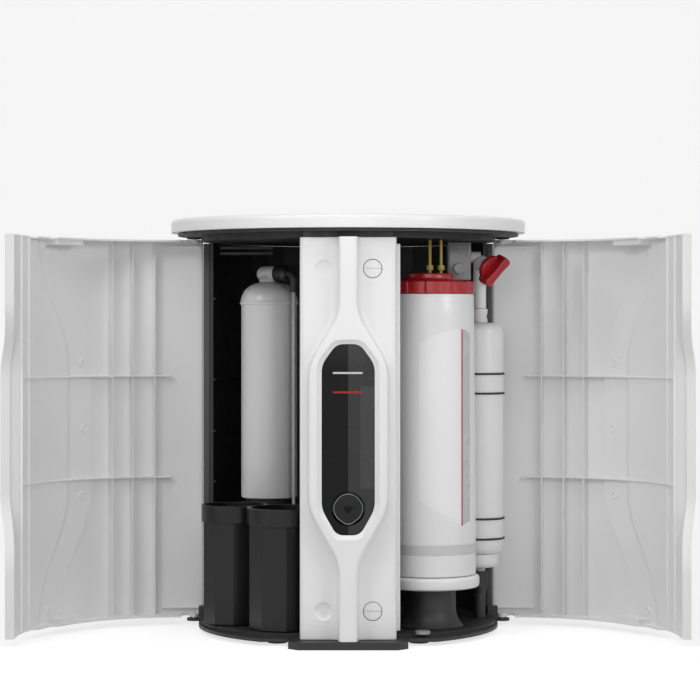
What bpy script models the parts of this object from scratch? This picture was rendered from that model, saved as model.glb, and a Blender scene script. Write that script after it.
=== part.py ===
"""A bench water purifier with its two curved doors open, built from separate solids.

Metres, +Z up. The origin is on the table under the middle of the body. The front faces -Y.
"""

import math

import bmesh
import bpy
import numpy as np
from mathutils import Matrix, Vector

# Gaps and overlaps
SEAM = 0.0003
OVERLAP = 0.001
OVERRUN = 0.003
WELD = 0.00001

# Whole body
BODY_HEIGHT = 0.435
LID_THICKNESS = 0.015
LID_ROUNDING = 0.004
LID_SIDE_OVERHANG = 0.004
LID_FRONT_OVERHANG = 0.002
TOP_PLATE_THICKNESS = 0.0084
TOP_PLATE_RIM_THICKNESS = 0.0027
FOOT_HEIGHT = 0.0037
TRAY_THICKNESS = 0.0034
DECK_HEIGHT = 0.0105

# Doors: plan ellipse, heights and reinforcement
DOOR_HALF_WIDTH = 0.184
DOOR_HALF_DEPTH = 0.168
DOOR_WALL = 0.0028
DOOR_LOW = 0.008
DOOR_TOP_GAP = 0.005
DOOR_END_Y = 0.042
DOOR_EDGE_GAP = 0.0008
ZONE_HEIGHT = 0.0065
LAND_HEIGHT = 0.0038
LAND_FILLET = 0.009
ZONE_END_INSET = 0.0895
ZONE_MIDDLE_INSET = 0.0485
LAND_END_INSET = 0.0555
LAND_MIDDLE_INSET = 0.0245
LAND_SHOULDER_SHARE = 0.8
FLANGE_THICKNESS = 0.0025
FLANGE_DEPTH = 0.022
FLANGE_STEP_DEPTH = 0.015
FLANGE_COLUMN_DEPTH = 0.0072
FLANGE_STEP_INSET = 0.076
FLANGE_COLUMN_X = 0.078
FLANGE_END_Y = 0.020
RIB_THICKNESS = 0.002
RIB_DEPTH = 0.0085
RIB_YS = (-0.0585, -0.0355, -0.0105)
RIB_XS = (0.052, 0.0745)
RIB_LOW_Z = 0.158
RIB_HIGH_Z = 0.267
RIB_START_X = 0.0525
RIB_END_Y = 0.008
LIP_START_X = 0.051
LIP_DEPTH = 0.009
OPEN_ANGLE = math.radians(82.5)

# Hinges
HINGE_INSET = 0.018
HINGE_Y = 0.032
HINGE_ARM_THICKNESS = 0.004
HINGE_BOSS_RADIUS = 0.005
HINGE_PIN_RADIUS = 0.002
HINGE_PIN_SINK = 0.0025
HINGE_LUG_RADIUS = 0.008

# Front column
COLUMN_HALF_WIDTH = 0.0485
COLUMN_SETBACK = 0.018
COLUMN_DEPTH = 0.028
COLUMN_WALL = 0.003
COLUMN_CORNER = 0.005
RIDGE_NARROW = 0.0095
RIDGE_WIDE = 0.040
RIDGE_NARROW_SLOPE = 0.0055
RIDGE_WIDE_SLOPE = 0.0015
RIDGE_CHEEK_GAP = 0.0010
RIDGE_TOP_NECK_DROP = 0.102
RIDGE_TOP_WIDE_DROP = 0.152
RIDGE_LOW_WIDE_Z = 0.140
RIDGE_LOW_NECK_Z = 0.086
RIDGE_CORNER = 0.022
RETURN_WIDTH = 0.004
RETURN_THICKNESS = 0.002
RETURN_INSET = 0.006

# Panel, button and board
PANEL_HALF_WIDTH = 0.026
PANEL_TOP_HALF = 0.0115
PANEL_TOP_DROP = 0.1314
PANEL_TOP_SIDE_DROP = 0.1517
PANEL_LOW_SIDE_Z = 0.1401
PANEL_LOW_Z = 0.1143
PANEL_CORNER = 0.006
PANEL_RECESS = 0.003
PANEL_THICKNESS = 0.003
PANEL_BEVEL = 0.0035
BUTTON_Z = 0.1402
BUTTON_RADIUS = 0.0163
BUTTON_PROUD = 0.0012
BUTTON_THICKNESS = 0.0032
BUTTON_STEM_RADIUS = 0.003
BUTTON_STEM_LENGTH = 0.0022
BUTTON_TRAVEL = 0.001
BUTTON_DISH_SHARES = (0.72, 0.80)
SWITCH_SIZE = 0.006
SWITCH_HEIGHT = 0.0025
BOARD_THICKNESS = 0.0016
BOARD_MARGIN = 0.008
BOARD_SIDE_GAP = 0.0055
BOARD_POST_RADIUS = 0.0022

# Column fasteners and the post behind them
SCREW_X = 0.0245
SCREW_TOP_DROP = 0.0555
SCREW_LOW_Z = 0.0365
SCREW_HEAD_RADIUS = 0.009
SCREW_HEAD_THICKNESS = 0.0018
SCREW_SLOT_WIDTH = 0.0016
SCREW_SLOT_DEPTH = 0.0009
SCREW_SHANK_RADIUS = 0.003
SCREW_SHANK_LENGTH = 0.018
DIMPLE_DEPTH = 0.0008
POST_LEFT_X = -0.016
POST_RIGHT_X = 0.036
POST_GAP = 0.004
POST_DEPTH = 0.020
POST_WALL = 0.003
POST_BOSS_RADIUS = 0.006

# Rear shell
SHELL_INSET = 0.004
SHELL_WALL = 0.004
SHELL_FRONT_Y = 0.030
SHELL_RIB_DEPTH = 0.003
SHELL_RIB_THICKNESS = 0.002
SHELL_RIB_SHARES = (0.352, 0.478, 0.605, 0.805)
LEDGE_Y = 0.050
LEDGE_DEPTH = 0.008
LEDGE_END_X = -0.082
LEDGE_DROP = 0.036
LEDGE_THICKNESS = 0.003
LEDGE_PITCH = 0.006
BACK_PANEL_HALF_WIDTH = 0.048
BACK_PANEL_LOW_Z = 0.035
BACK_PANEL_HIGH_Z = 0.130

# Tray and top plate plans
PLAN_CLEARANCE = 0.003
TRAY_SIDE_INSET = 0.025
TRAY_FRONT_INSET = 0.003
TRAY_BACK_INSET = 0.0015
TRAY_NOTCH_INSET = 0.031
PEDESTAL_HALF_WIDTH = 0.060
PEDESTAL_CHAMFER = 0.010
PLATE_NOSE_HALF_WIDTH = 0.045
PLATE_NOSE_SETBACK = 0.0025
BRACKET_HEIGHT = 0.010
BRACKET_WIDTH = 0.0105
BRACKET_REACH = 0.0095
FOOT_X = 0.072
FOOT_FRONT_Y = -0.110
FOOT_BACK_Y = 0.120
FOOT_RADIUS = 0.010

# Left bay
CUP_X = -0.064
CUP_Y = -0.078
CUP_RADIUS = 0.041
REAR_CUP_INSET = 0.065
REAR_CUP_Y = -0.035
REAR_CUP_RADIUS = 0.035
CUP_TOP_Z = 0.135
CUP_WALL = 0.004
CUP_FLOOR_Z = 0.040
CUP_COLLAR_HEIGHT = 0.017
CUP_COLLAR_STEP = 0.0015
CUP_RIB_COUNT = 10
CUP_RIB_REACH = 0.003
CUP_RIB_HALF_WIDTH = 0.0015
CUP_RIB_FACING = math.radians(140)
CUP_RIB_SPREAD_SHARE = -0.2
BOTTLE_X = -0.085
BOTTLE_Y = 0.025
BOTTLE_RADIUS = 0.030
BOTTLE_SHOULDER_DROP = 0.089
BOTTLE_RIM = 0.0015
BOTTLE_DOME_SHARES = (0.35, 0.65, 0.85, 1.0)
BOTTLE_DOME_DROP_SHARE = 0.9
BOTTLE_TOP_DROP = 0.0665
BOTTLE_NECK_RADIUS = 0.011
STAND_RADIUS = 0.026
STAND_WALL = 0.003
SPOUT_DROP = 0.0573
SPOUT_RADIUS = 0.0085
SPOUT_TURN = math.radians(-41)
SPOUT_BACK = 0.014
SPOUT_LENGTH = 0.0115
CONNECTOR_RADIUS = 0.009
CONNECTOR_LENGTH = 0.0155
CONNECTOR_TAPER_SHARE = 0.7
ELBOW_RADIUS = 0.0045
ELBOW_BEND = 0.007
ELBOW_DROP = 0.020
HOSE_RADIUS = 0.00175
HOSE_BEND = 0.012
HOSE_DROP_SHARES = (0, 0.3, 0.6)

# Right bay
PACK_X = 0.0847
PACK_Y = -0.062
PACK_TOP_RADIUS = 0.0458
PACK_LOW_RADIUS = 0.0478
PACK_LOW_Z = 0.0650
PACK_TOP_DROP = 0.080
PACK_FOOT_RADIUS = 0.0515
PACK_FOOT_HEIGHT = 0.0133
PACK_BAND_LOW_Z = 0.087
PACK_BAND_HEIGHT = 0.011
PACK_BAND_PROUD = 0.0006
PACK_NECK_RADIUS = 0.016
PACK_NECK_HEIGHT = 0.009
COLLAR_HEIGHT = 0.0134
COLLAR_STEP_RADIUS = 0.0243
COLLAR_STEP_HEIGHT = 0.008
COLLAR_GRIP_COUNT = 18
COLLAR_GRIP_DEPTH = 0.0012
SEAT_RADIUS = 0.027
SEAT_FLARE = 0.008
SEAT_FLARE_HEIGHT = 0.014
TUBE_RADIUS = 0.0015
TUBE_COLLAR_RADIUS = 0.0035
TUBE_COLLAR_HEIGHT = 0.005
TUBE_XS = (0.0849, 0.0964)
MANIFOLD_LOW_X = 0.105
MANIFOLD_HIGH_X = 0.130
MANIFOLD_LOW_Y = -0.018
MANIFOLD_HIGH_Y = 0.008
MANIFOLD_LOW_DROP = 0.0645
MANIFOLD_PORT_RADIUS = 0.006
VALVE_OFFSET_X = 0.0005
VALVE_Y = -0.004
VALVE_DROP = 0.046
VALVE_TILT_SHARES = (0.55, -0.75, -0.35)
VALVE_RADIUS = 0.0085
VALVE_LENGTH = 0.016
KNOB_RADIUS = 0.0145
KNOB_RIM_SHARES = (0.9, 0.95)
KNOB_THICKNESS = 0.006
KNOB_GRIP_LENGTH = 0.036
KNOB_GRIP_WIDTH = 0.012
KNOB_GRIP_HEIGHT = 0.010
SMALL_INSET = 0.044
SMALL_Y = 0.002
SMALL_RADIUS = 0.0254
SMALL_LOW_Z = 0.0800
SMALL_TOP_DROP = 0.1095
SMALL_SHOULDER = 0.012
SMALL_SHOULDER_SHARE = 0.3
SMALL_HEAD_RADIUS = 0.0085
SMALL_HEAD_HEIGHT = 0.0145
SMALL_STEM_RADIUS = 0.0070
SMALL_BAND_ZS = (0.0965, 0.1178, 0.2505, 0.2712)
SMALL_BAND_RADIUS = 0.0011
SMALL_CAP_HEIGHT = 0.016
SMALL_CAP_RADIUS = 0.020
SMALL_NOZZLE_RADIUS = 0.0058
SMALL_NOZZLE_HEIGHT = 0.011
SOCKET_RADIUS = 0.0085
SOCKET_HEIGHT = 0.008
SMALL_SEAT_RADIUS = 0.006
TRAY_SCREW_X = 0.0755
TRAY_SCREW_Y = -0.125
TRAY_SCREW_RADIUS = 0.0078
TRAY_SCREW_HEIGHT = 0.003

# Inner and rear services
PUMP_X = 0.0
PUMP_Y = 0.070
PUMP_RADIUS = 0.027
PUMP_HEIGHT = 0.070
PUMP_HEAD_RADIUS = 0.031
PUMP_HEAD_HEIGHT = 0.020
PUMP_PORT_RADIUS = 0.005
PUMP_PORT_REACH = 0.038
PORT_XS = (0.012, 0.034)
PORT_Z = 0.080
PORT_RADIUS = 0.007
PORT_BORE = 0.0035
PORT_LENGTH = 0.006
INLET_X = -0.024
INLET_Z = 0.080
INLET_WIDTH = 0.030
INLET_HEIGHT = 0.024
INLET_PROUD = 0.002
INLET_WALL = 0.0025
INLET_DEPTH = 0.016

# Facet counts
ROUND_STEPS = 28
SMALL_STEPS = 12
SMALL_PACK_STEPS = 20
PLAN_POINTS = 20
DOOR_POINTS = 10
CORNER_POINTS = 3

# Heights and half sizes that follow from the ones above
HINGE_X = DOOR_HALF_WIDTH - HINGE_INSET
ZONE_X_END = DOOR_HALF_WIDTH - ZONE_END_INSET
ZONE_X_MIDDLE = DOOR_HALF_WIDTH - ZONE_MIDDLE_INSET
LAND_X_END = DOOR_HALF_WIDTH - LAND_END_INSET
LAND_X_MIDDLE = DOOR_HALF_WIDTH - LAND_MIDDLE_INSET
FLANGE_STEP_X = DOOR_HALF_WIDTH - FLANGE_STEP_INSET
COLUMN_FRONT_Y = COLUMN_SETBACK - DOOR_HALF_DEPTH
COLUMN_BACK_Y = COLUMN_FRONT_Y + COLUMN_DEPTH
POST_FRONT_Y = COLUMN_BACK_Y + POST_GAP
PLATE_NOSE_Y = COLUMN_FRONT_Y + PLATE_NOSE_SETBACK
PEDESTAL_FRONT_Y = -DOOR_HALF_DEPTH
TRAY_HALF_WIDTH = DOOR_HALF_WIDTH - TRAY_SIDE_INSET
TRAY_FRONT = DOOR_HALF_DEPTH - TRAY_FRONT_INSET
TRAY_BACK = DOOR_HALF_DEPTH - TRAY_BACK_INSET
TRAY_NOTCH_Y = TRAY_NOTCH_INSET - DOOR_HALF_DEPTH
BACK_PANEL_Y = TRAY_BACK - PLAN_CLEARANCE
RIDGE_TOP_NECK_Z = BODY_HEIGHT - RIDGE_TOP_NECK_DROP
RIDGE_TOP_WIDE_Z = BODY_HEIGHT - RIDGE_TOP_WIDE_DROP
PANEL_TOP_Z = BODY_HEIGHT - PANEL_TOP_DROP
PANEL_TOP_SIDE_Z = BODY_HEIGHT - PANEL_TOP_SIDE_DROP
SCREW_TOP_Z = BODY_HEIGHT - SCREW_TOP_DROP
LEDGE_LOW_Z = BODY_HEIGHT - LEDGE_DROP
SHELL_RIB_ZS = [BODY_HEIGHT * share for share in SHELL_RIB_SHARES]
REAR_CUP_X = REAR_CUP_INSET - DOOR_HALF_WIDTH
BOTTLE_SHOULDER_Z = BODY_HEIGHT - BOTTLE_SHOULDER_DROP
BOTTLE_TOP_Z = BODY_HEIGHT - BOTTLE_TOP_DROP
SPOUT_Z = BODY_HEIGHT - SPOUT_DROP
PACK_TOP_Z = BODY_HEIGHT - PACK_TOP_DROP
MANIFOLD_LOW_Z = BODY_HEIGHT - MANIFOLD_LOW_DROP
SMALL_X = DOOR_HALF_WIDTH - SMALL_INSET
SMALL_TOP_Z = BODY_HEIGHT - SMALL_TOP_DROP
VALVE_X = SMALL_X + VALVE_OFFSET_X
VALVE_Z = BODY_HEIGHT - VALVE_DROP
LID_LOW_Z = BODY_HEIGHT - LID_THICKNESS
TOP_PLATE_HIGH_Z = LID_LOW_Z - SEAM
TOP_PLATE_LOW_Z = TOP_PLATE_HIGH_Z - TOP_PLATE_THICKNESS
TRAY_LOW_Z = FOOT_HEIGHT + SEAM
TRAY_HIGH_Z = TRAY_LOW_Z + TRAY_THICKNESS
PEDESTAL_HIGH_Z = DOOR_LOW - SEAM
DOOR_HIGH_Z = LID_LOW_Z - DOOR_TOP_GAP
COLUMN_LOW_Z = PEDESTAL_HIGH_Z + SEAM
COLUMN_HIGH_Z = TOP_PLATE_LOW_Z - SEAM
FLOOR_Z = DECK_HEIGHT + SEAM
CEILING_Z = TOP_PLATE_LOW_Z - SEAM
INNER_HALF_WIDTH = DOOR_HALF_WIDTH - DOOR_WALL
INNER_HALF_DEPTH = DOOR_HALF_DEPTH - DOOR_WALL
DECK_HALF_WIDTH = INNER_HALF_WIDTH - FLANGE_DEPTH - PLAN_CLEARANCE
DECK_HALF_DEPTH = INNER_HALF_DEPTH - FLANGE_DEPTH - PLAN_CLEARANCE
SHELL_HALF_WIDTH = DECK_HALF_WIDTH - SHELL_INSET
SHELL_HALF_DEPTH = TRAY_BACK - SHELL_INSET
RIDGE_FRONT_Y = -DOOR_HALF_DEPTH
PANEL_FRONT_Y = RIDGE_FRONT_Y + PANEL_RECESS
PANEL_BACK_Y = PANEL_FRONT_Y + PANEL_THICKNESS
SIDES = (("left", -1), ("right", 1))

# Colours
WHITE = (0.86, 0.87, 0.88)
BLACK = (0.012, 0.012, 0.013)
RED = (0.55, 0.008, 0.012)
GREY = (0.45, 0.46, 0.47)
STEEL = (0.62, 0.63, 0.64)
BOARD_GREEN = (0.02, 0.14, 0.06)
YELLOW = (0.75, 0.62, 0.12)


def start_clean():
    """Remove every object, then make one collection for the parts and one for the cutters."""
    for old in list(bpy.data.objects):
        bpy.data.objects.remove(old, do_unlink=True)
    made = []
    for name in ("water_purifier", "cutters"):
        made.append(bpy.data.collections.new(name))
        bpy.context.scene.collection.children.link(made[-1])
    made[1].hide_render = True
    return made


PARTS, CUTTERS = start_clean()


def finish(obj, colour, roughness, metallic=0.0):
    """Give a sub-part its own Principled material."""
    material = bpy.data.materials.new(obj.name)
    material.use_nodes = True
    shader = material.node_tree.nodes["Principled BSDF"]
    shader.inputs["Base Color"].default_value = (*colour, 1)
    shader.inputs["Roughness"].default_value = roughness
    shader.inputs["Metallic"].default_value = metallic
    material.diffuse_color = (*colour, 1)
    obj.data.materials.clear()
    obj.data.materials.append(material)
    return obj


def add_mesh(name, shape):
    """Turn a bmesh into an object among the parts, with its faces pointing out."""
    bmesh.ops.recalc_face_normals(shape, faces=shape.faces)
    mesh = bpy.data.meshes.new(name)
    shape.to_mesh(mesh)
    shape.free()
    obj = bpy.data.objects.new(name, mesh)
    PARTS.objects.link(obj)
    return obj


def boolean(obj, other, operation):
    """Cut obj by another object, or join the other to it, and put the other among the cutters."""
    PARTS.objects.unlink(other)
    CUTTERS.objects.link(other)
    other.hide_render = True
    other.display_type = "WIRE"
    modifier = obj.modifiers.new(operation.lower(), "BOOLEAN")
    modifier.operation = operation
    modifier.object = other
    return obj


def cut(obj, *others):
    for other in others:
        boolean(obj, other, "DIFFERENCE")
    return obj


def join(obj, *others):
    for other in others:
        boolean(obj, other, "UNION")
    return obj


def box(name, low, high):
    """A cube stretched between two opposite corners."""
    shape = bmesh.new()
    bmesh.ops.create_cube(shape, size=1)
    size = Vector(high) - Vector(low)
    bmesh.ops.scale(shape, vec=size, verts=shape.verts)
    bmesh.ops.translate(shape, vec=(Vector(low) + Vector(high)) / 2, verts=shape.verts)
    return add_mesh(name, shape)


def loft(name, rings):
    """A closed body through rings with equal numbers of points, capped at both ends."""
    shape = bmesh.new()
    rows = [[shape.verts.new(point) for point in ring] for ring in rings]
    for lower, upper in zip(rows, rows[1:]):
        for i in range(len(lower)):
            j = (i + 1) % len(lower)
            shape.faces.new((lower[i], lower[j], upper[j], upper[i]))
    shape.faces.new(reversed(rows[0]))
    shape.faces.new(rows[-1])
    bmesh.ops.recalc_face_normals(shape, faces=shape.faces)
    bmesh.ops.triangulate(shape, faces=shape.faces)
    return add_mesh(name, shape)


AXIS_TURNS = {
    "Z": Matrix.Identity(4),
    "Y": Matrix(((1, 0, 0, 0), (0, 0, -1, 0), (0, 1, 0, 0), (0, 0, 0, 1))),
    "X": Matrix(((0, 0, 1, 0), (1, 0, 0, 0), (0, 1, 0, 0), (0, 0, 0, 1))),
}


def prism(name, outlines, low, high, axis="Z"):
    """Flat outlines filled as a 2D curve and raised from low to high along an axis.

    Along Z the outline is (x, y), along Y it is (x, z), and along X it is (y, z).
    """
    curve = bpy.data.curves.new(name, "CURVE")
    curve.dimensions = "2D"
    curve.fill_mode = "BOTH"
    curve.extrude = (high - low) / 2
    for outline in outlines:
        spline = curve.splines.new("POLY")
        spline.points.add(len(outline) - 1)
        for point, (u, v) in zip(spline.points, outline):
            point.co = (u, v, 0, 1)
        spline.use_cyclic_u = True
    drawn = bpy.data.objects.new(name, curve)
    middle = (low + high) / 2
    place = {"X": (middle, 0, 0), "Y": (0, middle, 0), "Z": (0, 0, middle)}[axis]
    drawn.matrix_world = Matrix.Translation(place) @ AXIS_TURNS[axis]
    PARTS.objects.link(drawn)
    bpy.context.view_layer.update()
    depsgraph = bpy.context.evaluated_depsgraph_get()
    mesh = bpy.data.meshes.new_from_object(drawn.evaluated_get(depsgraph))
    shape = bmesh.new()
    shape.from_mesh(mesh)
    bmesh.ops.remove_doubles(shape, verts=shape.verts, dist=WELD)
    turn = drawn.matrix_world.copy()
    bpy.data.objects.remove(drawn, do_unlink=True)
    obj = add_mesh(name, shape)
    obj.matrix_world = turn
    return obj


def turned(name, profile, place, steps=ROUND_STEPS, direction=(0, 0, 1)):
    """A profile of (radius, height) points, outer side from top to bottom, turned round an axis."""
    mesh = bpy.data.meshes.new(name)
    points = [(radius, 0, height) for radius, height in profile]
    mesh.from_pydata(points, [(i, i + 1) for i in range(len(points) - 1)], [])
    obj = bpy.data.objects.new(name, mesh)
    PARTS.objects.link(obj)
    screw = obj.modifiers.new("turn", "SCREW")
    screw.steps = steps
    screw.render_steps = steps
    screw.use_merge_vertices = True
    screw.merge_threshold = WELD
    turn = Vector((0, 0, 1)).rotation_difference(Vector(direction)).to_matrix().to_4x4()
    obj.matrix_world = Matrix.Translation(place) @ turn
    return obj


def rod(name, radius, low, high, place, steps=SMALL_STEPS, direction=(0, 0, 1)):
    """A plain cylinder from low to high along its axis."""
    profile = [(0, high), (radius, high), (radius, low), (0, low)]
    return turned(name, profile, place, steps, direction)


def tube(name, radius, points):
    """A bent round tube through points, with filled ends."""
    curve = bpy.data.curves.new(name, "CURVE")
    curve.dimensions = "3D"
    curve.bevel_depth = radius
    curve.bevel_resolution = 2
    curve.use_fill_caps = True
    spline = curve.splines.new("POLY")
    spline.points.add(len(points) - 1)
    for target, point in zip(spline.points, points):
        target.co = (*point, 1)
    obj = bpy.data.objects.new(name, curve)
    PARTS.objects.link(obj)
    return obj


def arc(half_width, half_depth, start, end, count):
    """Points of an ellipse round the body's axis, from one angle to another."""
    angles = np.linspace(start, end, count)
    return [(half_width * math.cos(t), half_depth * math.sin(t)) for t in angles]


def circle(x, y, radius, count=SMALL_STEPS):
    angles = [math.tau * i / count for i in range(count)]
    return [(x + radius * math.cos(t), y + radius * math.sin(t)) for t in angles]


def rounded(points, radius, count=CORNER_POINTS):
    """Round each corner of a closed outline, by no more than half of its shorter side."""
    made = []
    for i, corner in enumerate(points):
        here = Vector(corner)
        before = Vector(points[i - 1]) - here
        after = Vector(points[(i + 1) % len(points)]) - here
        half_turn = (math.pi - before.angle(after)) / 2
        reach = radius * math.tan(half_turn)
        reach = min(reach, before.length / 2, after.length / 2)
        first = here + before.normalized() * reach
        last = here + after.normalized() * reach
        for share in np.linspace(0, 1, count):
            one = first.lerp(here, share)
            two = here.lerp(last, share)
            made.append(tuple(one.lerp(two, share)))
    return made


def mirrored(outline, side):
    """The outline itself on the right side, or its mirror image on the left."""
    return [(side * x, y) for x, y in outline]


def plan_outline(half_width, front, back):
    """A closed plan of two half ellipses that share a width."""
    rear = arc(half_width, back, 0, math.pi, PLAN_POINTS)
    fore = arc(half_width, front, math.pi, math.tau, PLAN_POINTS)
    return rear + fore[1:-1]


def notched_plan(half_width, front, back, notch_y):
    """The plan of the base, with its front drawn back beside the pedestal."""
    notch_x = half_width * math.sqrt(1 - (notch_y / front) ** 2)
    edge = math.asin(notch_y / front)
    rear = arc(half_width, back, 0, math.pi, PLAN_POINTS)
    left = arc(half_width, front, math.pi, math.pi - edge, PLAN_POINTS // 2)
    right = arc(half_width, front, math.tau + edge, math.tau, PLAN_POINTS // 2)
    return rear + left[1:-1] + [(-notch_x, notch_y), (notch_x, notch_y)] + right[1:-1]


def ridge_outline(narrow, wide, low, high):
    """Outline of the column's ridge seen from the front: narrow ends and a wide middle."""
    right = [
        (narrow, low),
        (narrow, RIDGE_LOW_NECK_Z),
        (wide, RIDGE_LOW_WIDE_Z),
        (wide, RIDGE_TOP_WIDE_Z),
        (narrow, RIDGE_TOP_NECK_Z),
        (narrow, high),
    ]
    return right


def rounded_ridge(narrow, wide, low, high):
    """The ridge outline as a closed loop whose four bends a side are rounded."""
    right = ridge_outline(narrow, wide, low, high)
    bends = rounded(right + [(-x, z) for x, z in reversed(right)], RIDGE_CORNER)
    ends = {0, len(right) - 1, len(right), 2 * len(right) - 1}
    made = []
    for i in range(2 * len(right)):
        group = bends[i * CORNER_POINTS:(i + 1) * CORNER_POINTS]
        if i in ends:
            corner = (right + [(-x, z) for x, z in reversed(right)])[i]
            made.append(corner)
        else:
            made.extend(group)
    return made


def ridge_half_width(z):
    """Half width of the ridge at a height, as the doors' free edges follow it."""
    outline = rounded_ridge(RIDGE_NARROW, RIDGE_WIDE, COLUMN_LOW_Z, BODY_HEIGHT)
    side = [point for point in outline if point[0] > 0]
    return float(np.interp(z, [point[1] for point in side], [point[0] for point in side]))


def in_plane(outline, y):
    """Points of a front view outline put at one depth."""
    return [(x, y, z) for x, z in outline]


# Lid, top plate, base
def make_lid():
    half_width = DOOR_HALF_WIDTH + LID_SIDE_OVERHANG
    half_depth = DOOR_HALF_DEPTH + LID_FRONT_OVERHANG
    rings = []
    for turn in np.linspace(0, math.pi / 2, CORNER_POINTS):
        inset = LID_ROUNDING * (1 - math.cos(turn))
        z = BODY_HEIGHT - LID_ROUNDING * (1 - math.sin(turn))
        outline = plan_outline(half_width - inset, half_depth - inset, half_depth - inset)
        rings.append([(x, y, z) for x, y in outline])
    foot = plan_outline(half_width, half_depth, half_depth)
    rings.insert(0, [(x, y, LID_LOW_Z) for x, y in foot])
    return finish(loft("lid", rings), WHITE, 0.35)


def make_top_plate():
    nose = [
        (-PLATE_NOSE_HALF_WIDTH, 0),
        (-PLATE_NOSE_HALF_WIDTH, PLATE_NOSE_Y),
        (PLATE_NOSE_HALF_WIDTH, PLATE_NOSE_Y),
        (PLATE_NOSE_HALF_WIDTH, 0),
    ]
    body = plan_outline(DECK_HALF_WIDTH, DECK_HALF_DEPTH, TRAY_BACK - PLAN_CLEARANCE)
    plate = prism("top_plate", [body], TOP_PLATE_LOW_Z, TOP_PLATE_HIGH_Z)
    rim = plan_outline(INNER_HALF_WIDTH, INNER_HALF_DEPTH, INNER_HALF_DEPTH)
    rim_low = TOP_PLATE_HIGH_Z - TOP_PLATE_RIM_THICKNESS
    nose_top = TOP_PLATE_HIGH_Z - OVERLAP
    join(plate, prism("rim", [rim], rim_low, TOP_PLATE_HIGH_Z - SEAM))
    join(plate, prism("nose", [nose], TOP_PLATE_LOW_Z, nose_top))
    for name, side in SIDES:
        lug = circle(side * HINGE_X, HINGE_Y, HINGE_LUG_RADIUS)
        join(plate, prism("lug", [lug], DOOR_HIGH_Z + SEAM, rim_low + OVERLAP))
        hole = circle(side * HINGE_X, HINGE_Y, HINGE_PIN_RADIUS + SEAM)
        cut(plate, prism("pin_hole", [hole], DOOR_HIGH_Z - OVERRUN, pin_top_z() + SEAM))
    return finish(plate, BLACK, 0.45)


def pin_top_z():
    return DOOR_HIGH_Z + HINGE_PIN_SINK


def pin_low_z():
    return DOOR_LOW - HINGE_PIN_SINK


def make_base_tray():
    tray = prism("base_tray", [notched_plan(TRAY_HALF_WIDTH, TRAY_FRONT, TRAY_BACK, TRAY_NOTCH_Y)],
                 TRAY_LOW_Z, TRAY_HIGH_Z)
    deck_back = TRAY_BACK - PLAN_CLEARANCE
    deck = notched_plan(DECK_HALF_WIDTH, DECK_HALF_DEPTH, deck_back, COLUMN_BACK_Y + OVERLAP)
    join(tray, prism("deck", [deck], TRAY_LOW_Z + OVERLAP, DECK_HEIGHT))
    half = PEDESTAL_HALF_WIDTH
    pedestal = [
        (-half, TRAY_NOTCH_Y + OVERLAP),
        (-half, PEDESTAL_FRONT_Y + PEDESTAL_CHAMFER),
        (PEDESTAL_CHAMFER - half, PEDESTAL_FRONT_Y),
        (half - PEDESTAL_CHAMFER, PEDESTAL_FRONT_Y),
        (half, PEDESTAL_FRONT_Y + PEDESTAL_CHAMFER),
        (half, TRAY_NOTCH_Y + OVERLAP),
    ]
    join(tray, prism("pedestal", [pedestal], 0, PEDESTAL_HIGH_Z))
    for name, side in SIDES:
        lug = circle(side * HINGE_X, HINGE_Y, HINGE_LUG_RADIUS)
        join(tray, prism("lug", [lug], TRAY_LOW_Z + SEAM, TRAY_HIGH_Z - SEAM))
        near = side * (HINGE_X - HINGE_BOSS_RADIUS - SEAM)
        far = side * (HINGE_X - HINGE_BOSS_RADIUS - SEAM - BRACKET_WIDTH)
        low = (min(near, far), HINGE_Y - BRACKET_REACH, TRAY_HIGH_Z - OVERLAP)
        high = (max(near, far), HINGE_Y + SEAM, DECK_HEIGHT + BRACKET_HEIGHT)
        join(tray, box("bracket", low, high))
        hole = circle(side * HINGE_X, HINGE_Y, HINGE_PIN_RADIUS + SEAM)
        cut(tray, prism("pin_hole", [hole], pin_low_z() - SEAM, TRAY_HIGH_Z + OVERRUN))
    return finish(tray, BLACK, 0.45)


def make_feet():
    for row, y in (("front", FOOT_FRONT_Y), ("back", FOOT_BACK_Y)):
        for word, side in SIDES:
            name = f"rubber_foot_{row}_{word}"
            finish(rod(name, FOOT_RADIUS, 0, FOOT_HEIGHT, (side * FOOT_X, y, 0)), BLACK, 0.8)


# Rear shell
def shell_band(name, outer_inset, depth, low, high, front_y=SHELL_FRONT_Y):
    """A curved strip along the rear shell, open at the front."""
    sides = []
    for inset in (outer_inset, outer_inset + depth):
        half_width = SHELL_HALF_WIDTH - inset
        half_depth = SHELL_HALF_DEPTH - inset
        start = math.asin(front_y / half_depth)
        sides.append(arc(half_width, half_depth, start, math.pi - start, PLAN_POINTS))
    return prism(name, [sides[0] + sides[1][::-1]], low, high)


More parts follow.
